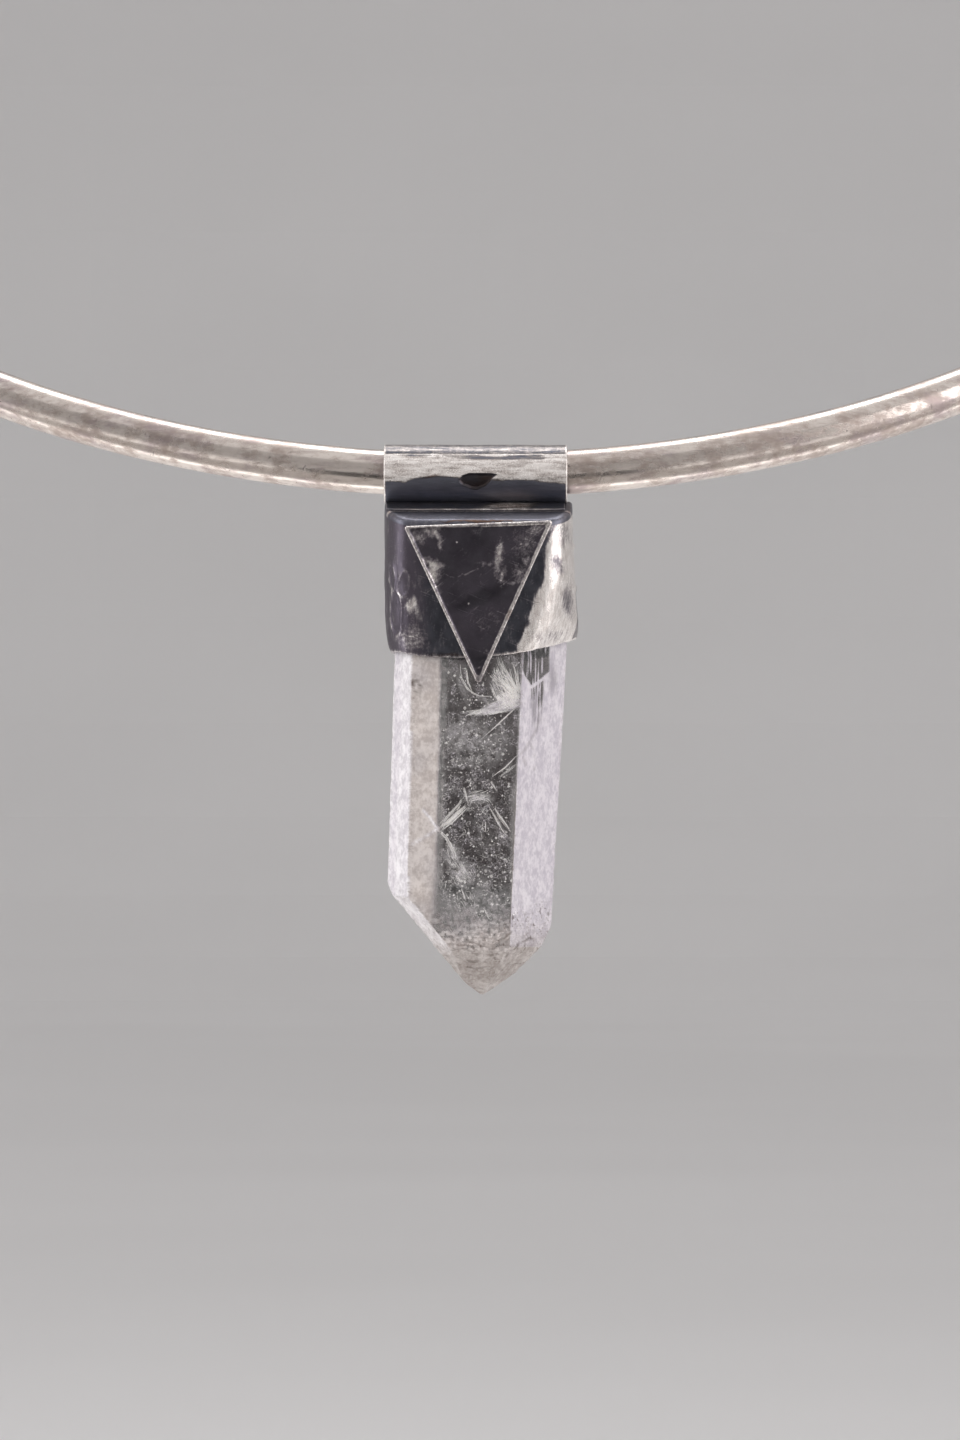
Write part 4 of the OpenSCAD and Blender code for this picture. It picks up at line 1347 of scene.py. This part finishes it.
# Veils inside the stone: middle on the front, depth, half length and width, turn in degrees, tilt, density
VEILS = [
    ((1.9, -14.3), 0.55, (1.5, 0.95), -58, 0.25, 0.55),
    ((1.25, -15.7), 0.6, (1.9, 0.45), 14, 0.15, 0.60),
    ((-0.3, -17.4), 0.9, (2.1, 1.00), 4, 0.30, 0.50),
    ((2.0, -19.6), 0.6, (1.3, 0.28), 36, 0.20, 0.55),
    ((-1.5, -22.75), 0.5, (1.35, 0.30), 43, 0.20, 0.60),
    ((0.3, -21.5), 0.6, (0.9, 0.40), -8, 0.20, 0.55),
    ((1.6, -23.0), 0.7, (1.35, 0.42), -60, 0.25, 0.55),
    ((-1.85, -24.7), 0.5, (1.15, 0.34), -62, 0.20, 0.60),
    ((-0.95, -26.6), 0.6, (1.30, 0.70), -60, 0.30, 0.65),
    ((0.3, -29.4), 0.8, (2.20, 1.10), 5, 0.20, 0.50),
    ((-0.6, -19.6), 1.6, (1.50, 1.10), 30, 0.50, 0.35),
    ((0.9, -26.4), 2.2, (1.40, 1.20), -30, 0.60, 0.28),
]


def add_veils(material):
    across = 25
    points, faces, body = [], [], []
    u, v = np.meshgrid(np.linspace(-1, 1, across), np.linspace(-1, 1, across), indexing="ij")
    for seed, (at, depth, half, turn, tilt, density) in enumerate(VEILS):
        turn = math.radians(turn)
        along, side = u * half[0], v * half[1]
        x = at[0] + along * math.cos(turn) - side * math.sin(turn)
        z = at[1] + along * math.sin(turn) + side * math.cos(turn)
        ripple = 0.16 * rough_noise(np.dstack([along, side, 0 * side]), 0.8, 120 + seed, 2)
        y = FRONT_FACE_Y + np.maximum(depth + tilt * along + ripple, 0.10)
        faces += grid_faces(across, across, False, len(points) * u.size)
        points.append(np.dstack([x, y, z]))
        body.append(density * (1 - ramp(np.hypot(u, v), 0.25, 1.0)))
    add_piece("crystal_veils", points, faces, "pendant", material, masks={"body": body})


# Studio: a pale floor that curves up all round, soft lights and the camera

FLOOR_H = -0.21
WALL_R = 2.9
WALL_BEND = 0.9


def add_stage():
    profile = [(radius, FLOOR_H) for radius in (0.5, 1.2, WALL_R - WALL_BEND)]
    for bend in np.linspace(0.1, math.pi / 2, 16):
        out = WALL_R - WALL_BEND + WALL_BEND * math.sin(bend)
        profile.append((out, FLOOR_H + WALL_BEND - WALL_BEND * math.cos(bend)))
    profile += [(WALL_R, 1.6), (WALL_R, 2.6)]
    sides = 96
    turns = np.linspace(0, 2 * math.pi, sides, endpoint=False)
    points = [(r * math.cos(turn), r * math.sin(turn), height) for r, height in profile for turn in turns]
    mesh = bpy.data.meshes.new("studio_floor")
    mesh.from_pydata(points, [], grid_faces(len(profile), sides) + [tuple(range(sides))])
    turn_faces_out(mesh, inside_out=True)
    n = Nodes("pale_floor")
    colour = n.mix(n.range(n.noise(300, 2), 0.3, 0.7), (0.765, 0.76, 0.757), (0.795, 0.79, 0.787))
    mesh.materials.append(n.finish({"Base Color": colour, "Roughness": 0.9}))
    add_to_scene("studio_floor", mesh)


def add_soft_box(name, at, size, watts, colour=(1, 1, 1), mirrored=True, aim=(0, -0.095, -0.10)):
    light = bpy.data.lights.new(name, "AREA")
    light.shape = "RECTANGLE"
    light.size, light.size_y = size
    light.energy = watts
    light.color = colour
    lamp = add_to_scene(name, light)
    lamp.location = at
    lamp.rotation_euler = (Vector(aim) - Vector(at)).to_track_quat("-Z", "Y").to_euler()
    lamp.visible_camera = False
    lamp.visible_glossy = mirrored


def add_card(name, at, size, tilt, shades):
    """A card low in front, which only shows as a darker line in polished metal."""
    half_x, half_z = size[0] / 2, size[1] / 2
    corners = [(-half_x, 0, -half_z), (half_x, 0, -half_z), (half_x, 0, half_z), (-half_x, 0, half_z)]
    mesh = bpy.data.meshes.new(name)
    mesh.from_pydata(corners, [], [(0, 1, 2, 3)])
    n = Nodes(name)
    colour = n.mix(n.noise(5, 2), *shades)
    mesh.materials.append(n.finish({"Base Color": colour, "Roughness": 0.9}))
    card = add_to_scene(name, mesh)
    card.location = at
    card.rotation_euler = (math.radians(tilt), 0, 0)
    card.visible_camera = card.visible_diffuse = card.visible_shadow = card.visible_transmission = False


def add_camera():
    camera = add_to_scene("camera", bpy.data.cameras.new("camera"))
    camera.data.lens = 180
    camera.data.sensor_width = 36
    camera.data.clip_start = 0.01
    camera.data.clip_end = 20
    camera.location = (0.0003, -0.5749, -0.1018)
    camera.rotation_euler = (math.pi / 2, 0, 0)
    bpy.context.scene.camera = camera


def set_world(colour, strength):
    world = bpy.data.worlds.new("studio_air")
    world.use_nodes = True
    background = world.node_tree.nodes["Background"]
    background.inputs["Color"].default_value = (*colour, 1)
    background.inputs["Strength"].default_value = strength
    bpy.context.scene.world = world


add_camera()
add_stage()
add_soft_box("key_box", (-0.26, -0.44, 0.15), (0.50, 0.34), 1.2, (1.0, 0.97, 0.94), False)
add_soft_box("right_box", (0.36, -0.24, 0.03), (0.40, 0.36), 0.85, (1.0, 0.97, 0.98))
add_soft_box("left_box", (-0.40, -0.10, 0.02), (0.20, 0.34), 0.5, (0.97, 0.97, 1.0))
add_soft_box("top_box", (0.0, 0.09, 0.34), (0.50, 0.18), 1.0)
add_soft_box("low_box", (0.0, -0.088, -0.205), (0.50, 0.03), 0.042, aim=(0, -0.088, 0))
add_card("dark_card", (0.0, -0.25, -0.166), (0.15, 0.084), 0, ((0.02, 0.02, 0.02), (0.04, 0.04, 0.04)))
add_card("grey_card", (0.0, -0.185, -0.204), (0.50, 0.15), 90, ((0.34, 0.33, 0.32), (0.40, 0.39, 0.38)))
set_world((0.985, 0.965, 0.97), 0.76)
bpy.context.scene.view_settings.view_transform = "Standard"

bright = ring_silver()
bail_silver = worn_silver(
    "bail_silver", (7, 1, 1), (0, 0, 0), (0.06, 0.065, 0.08), (0.09, 0.095, 0.12), (0.36, 0.32, 0.30), 0.42
)
cap_silver = worn_silver(
    "cap_silver", (1, 1, 4), (0, 0, 0), (0.062, 0.063, 0.076), (0.094, 0.095, 0.112),
    (0.34, 0.31, 0.325), 0.22,
)
plate_silver = worn_silver(
    "plate_silver", (1, 1, 1.5), (0, 0.5, 0), (0.038, 0.036, 0.042), (0.064, 0.060, 0.069),
    (0.30, 0.27, 0.29),
)
white = glowing_inclusion_white()
add_neck_ring(bright)
add_clasp(bright)
add_bail(bail_silver)
add_solder(bail_silver)
add_cap(cap_silver)
add_plate(plate_silver)
add_crystal(rock_crystal())
add_cracks(white, np.random.default_rng(7))
add_specks(white, np.random.default_rng(11))
add_veils(inclusion_veil())
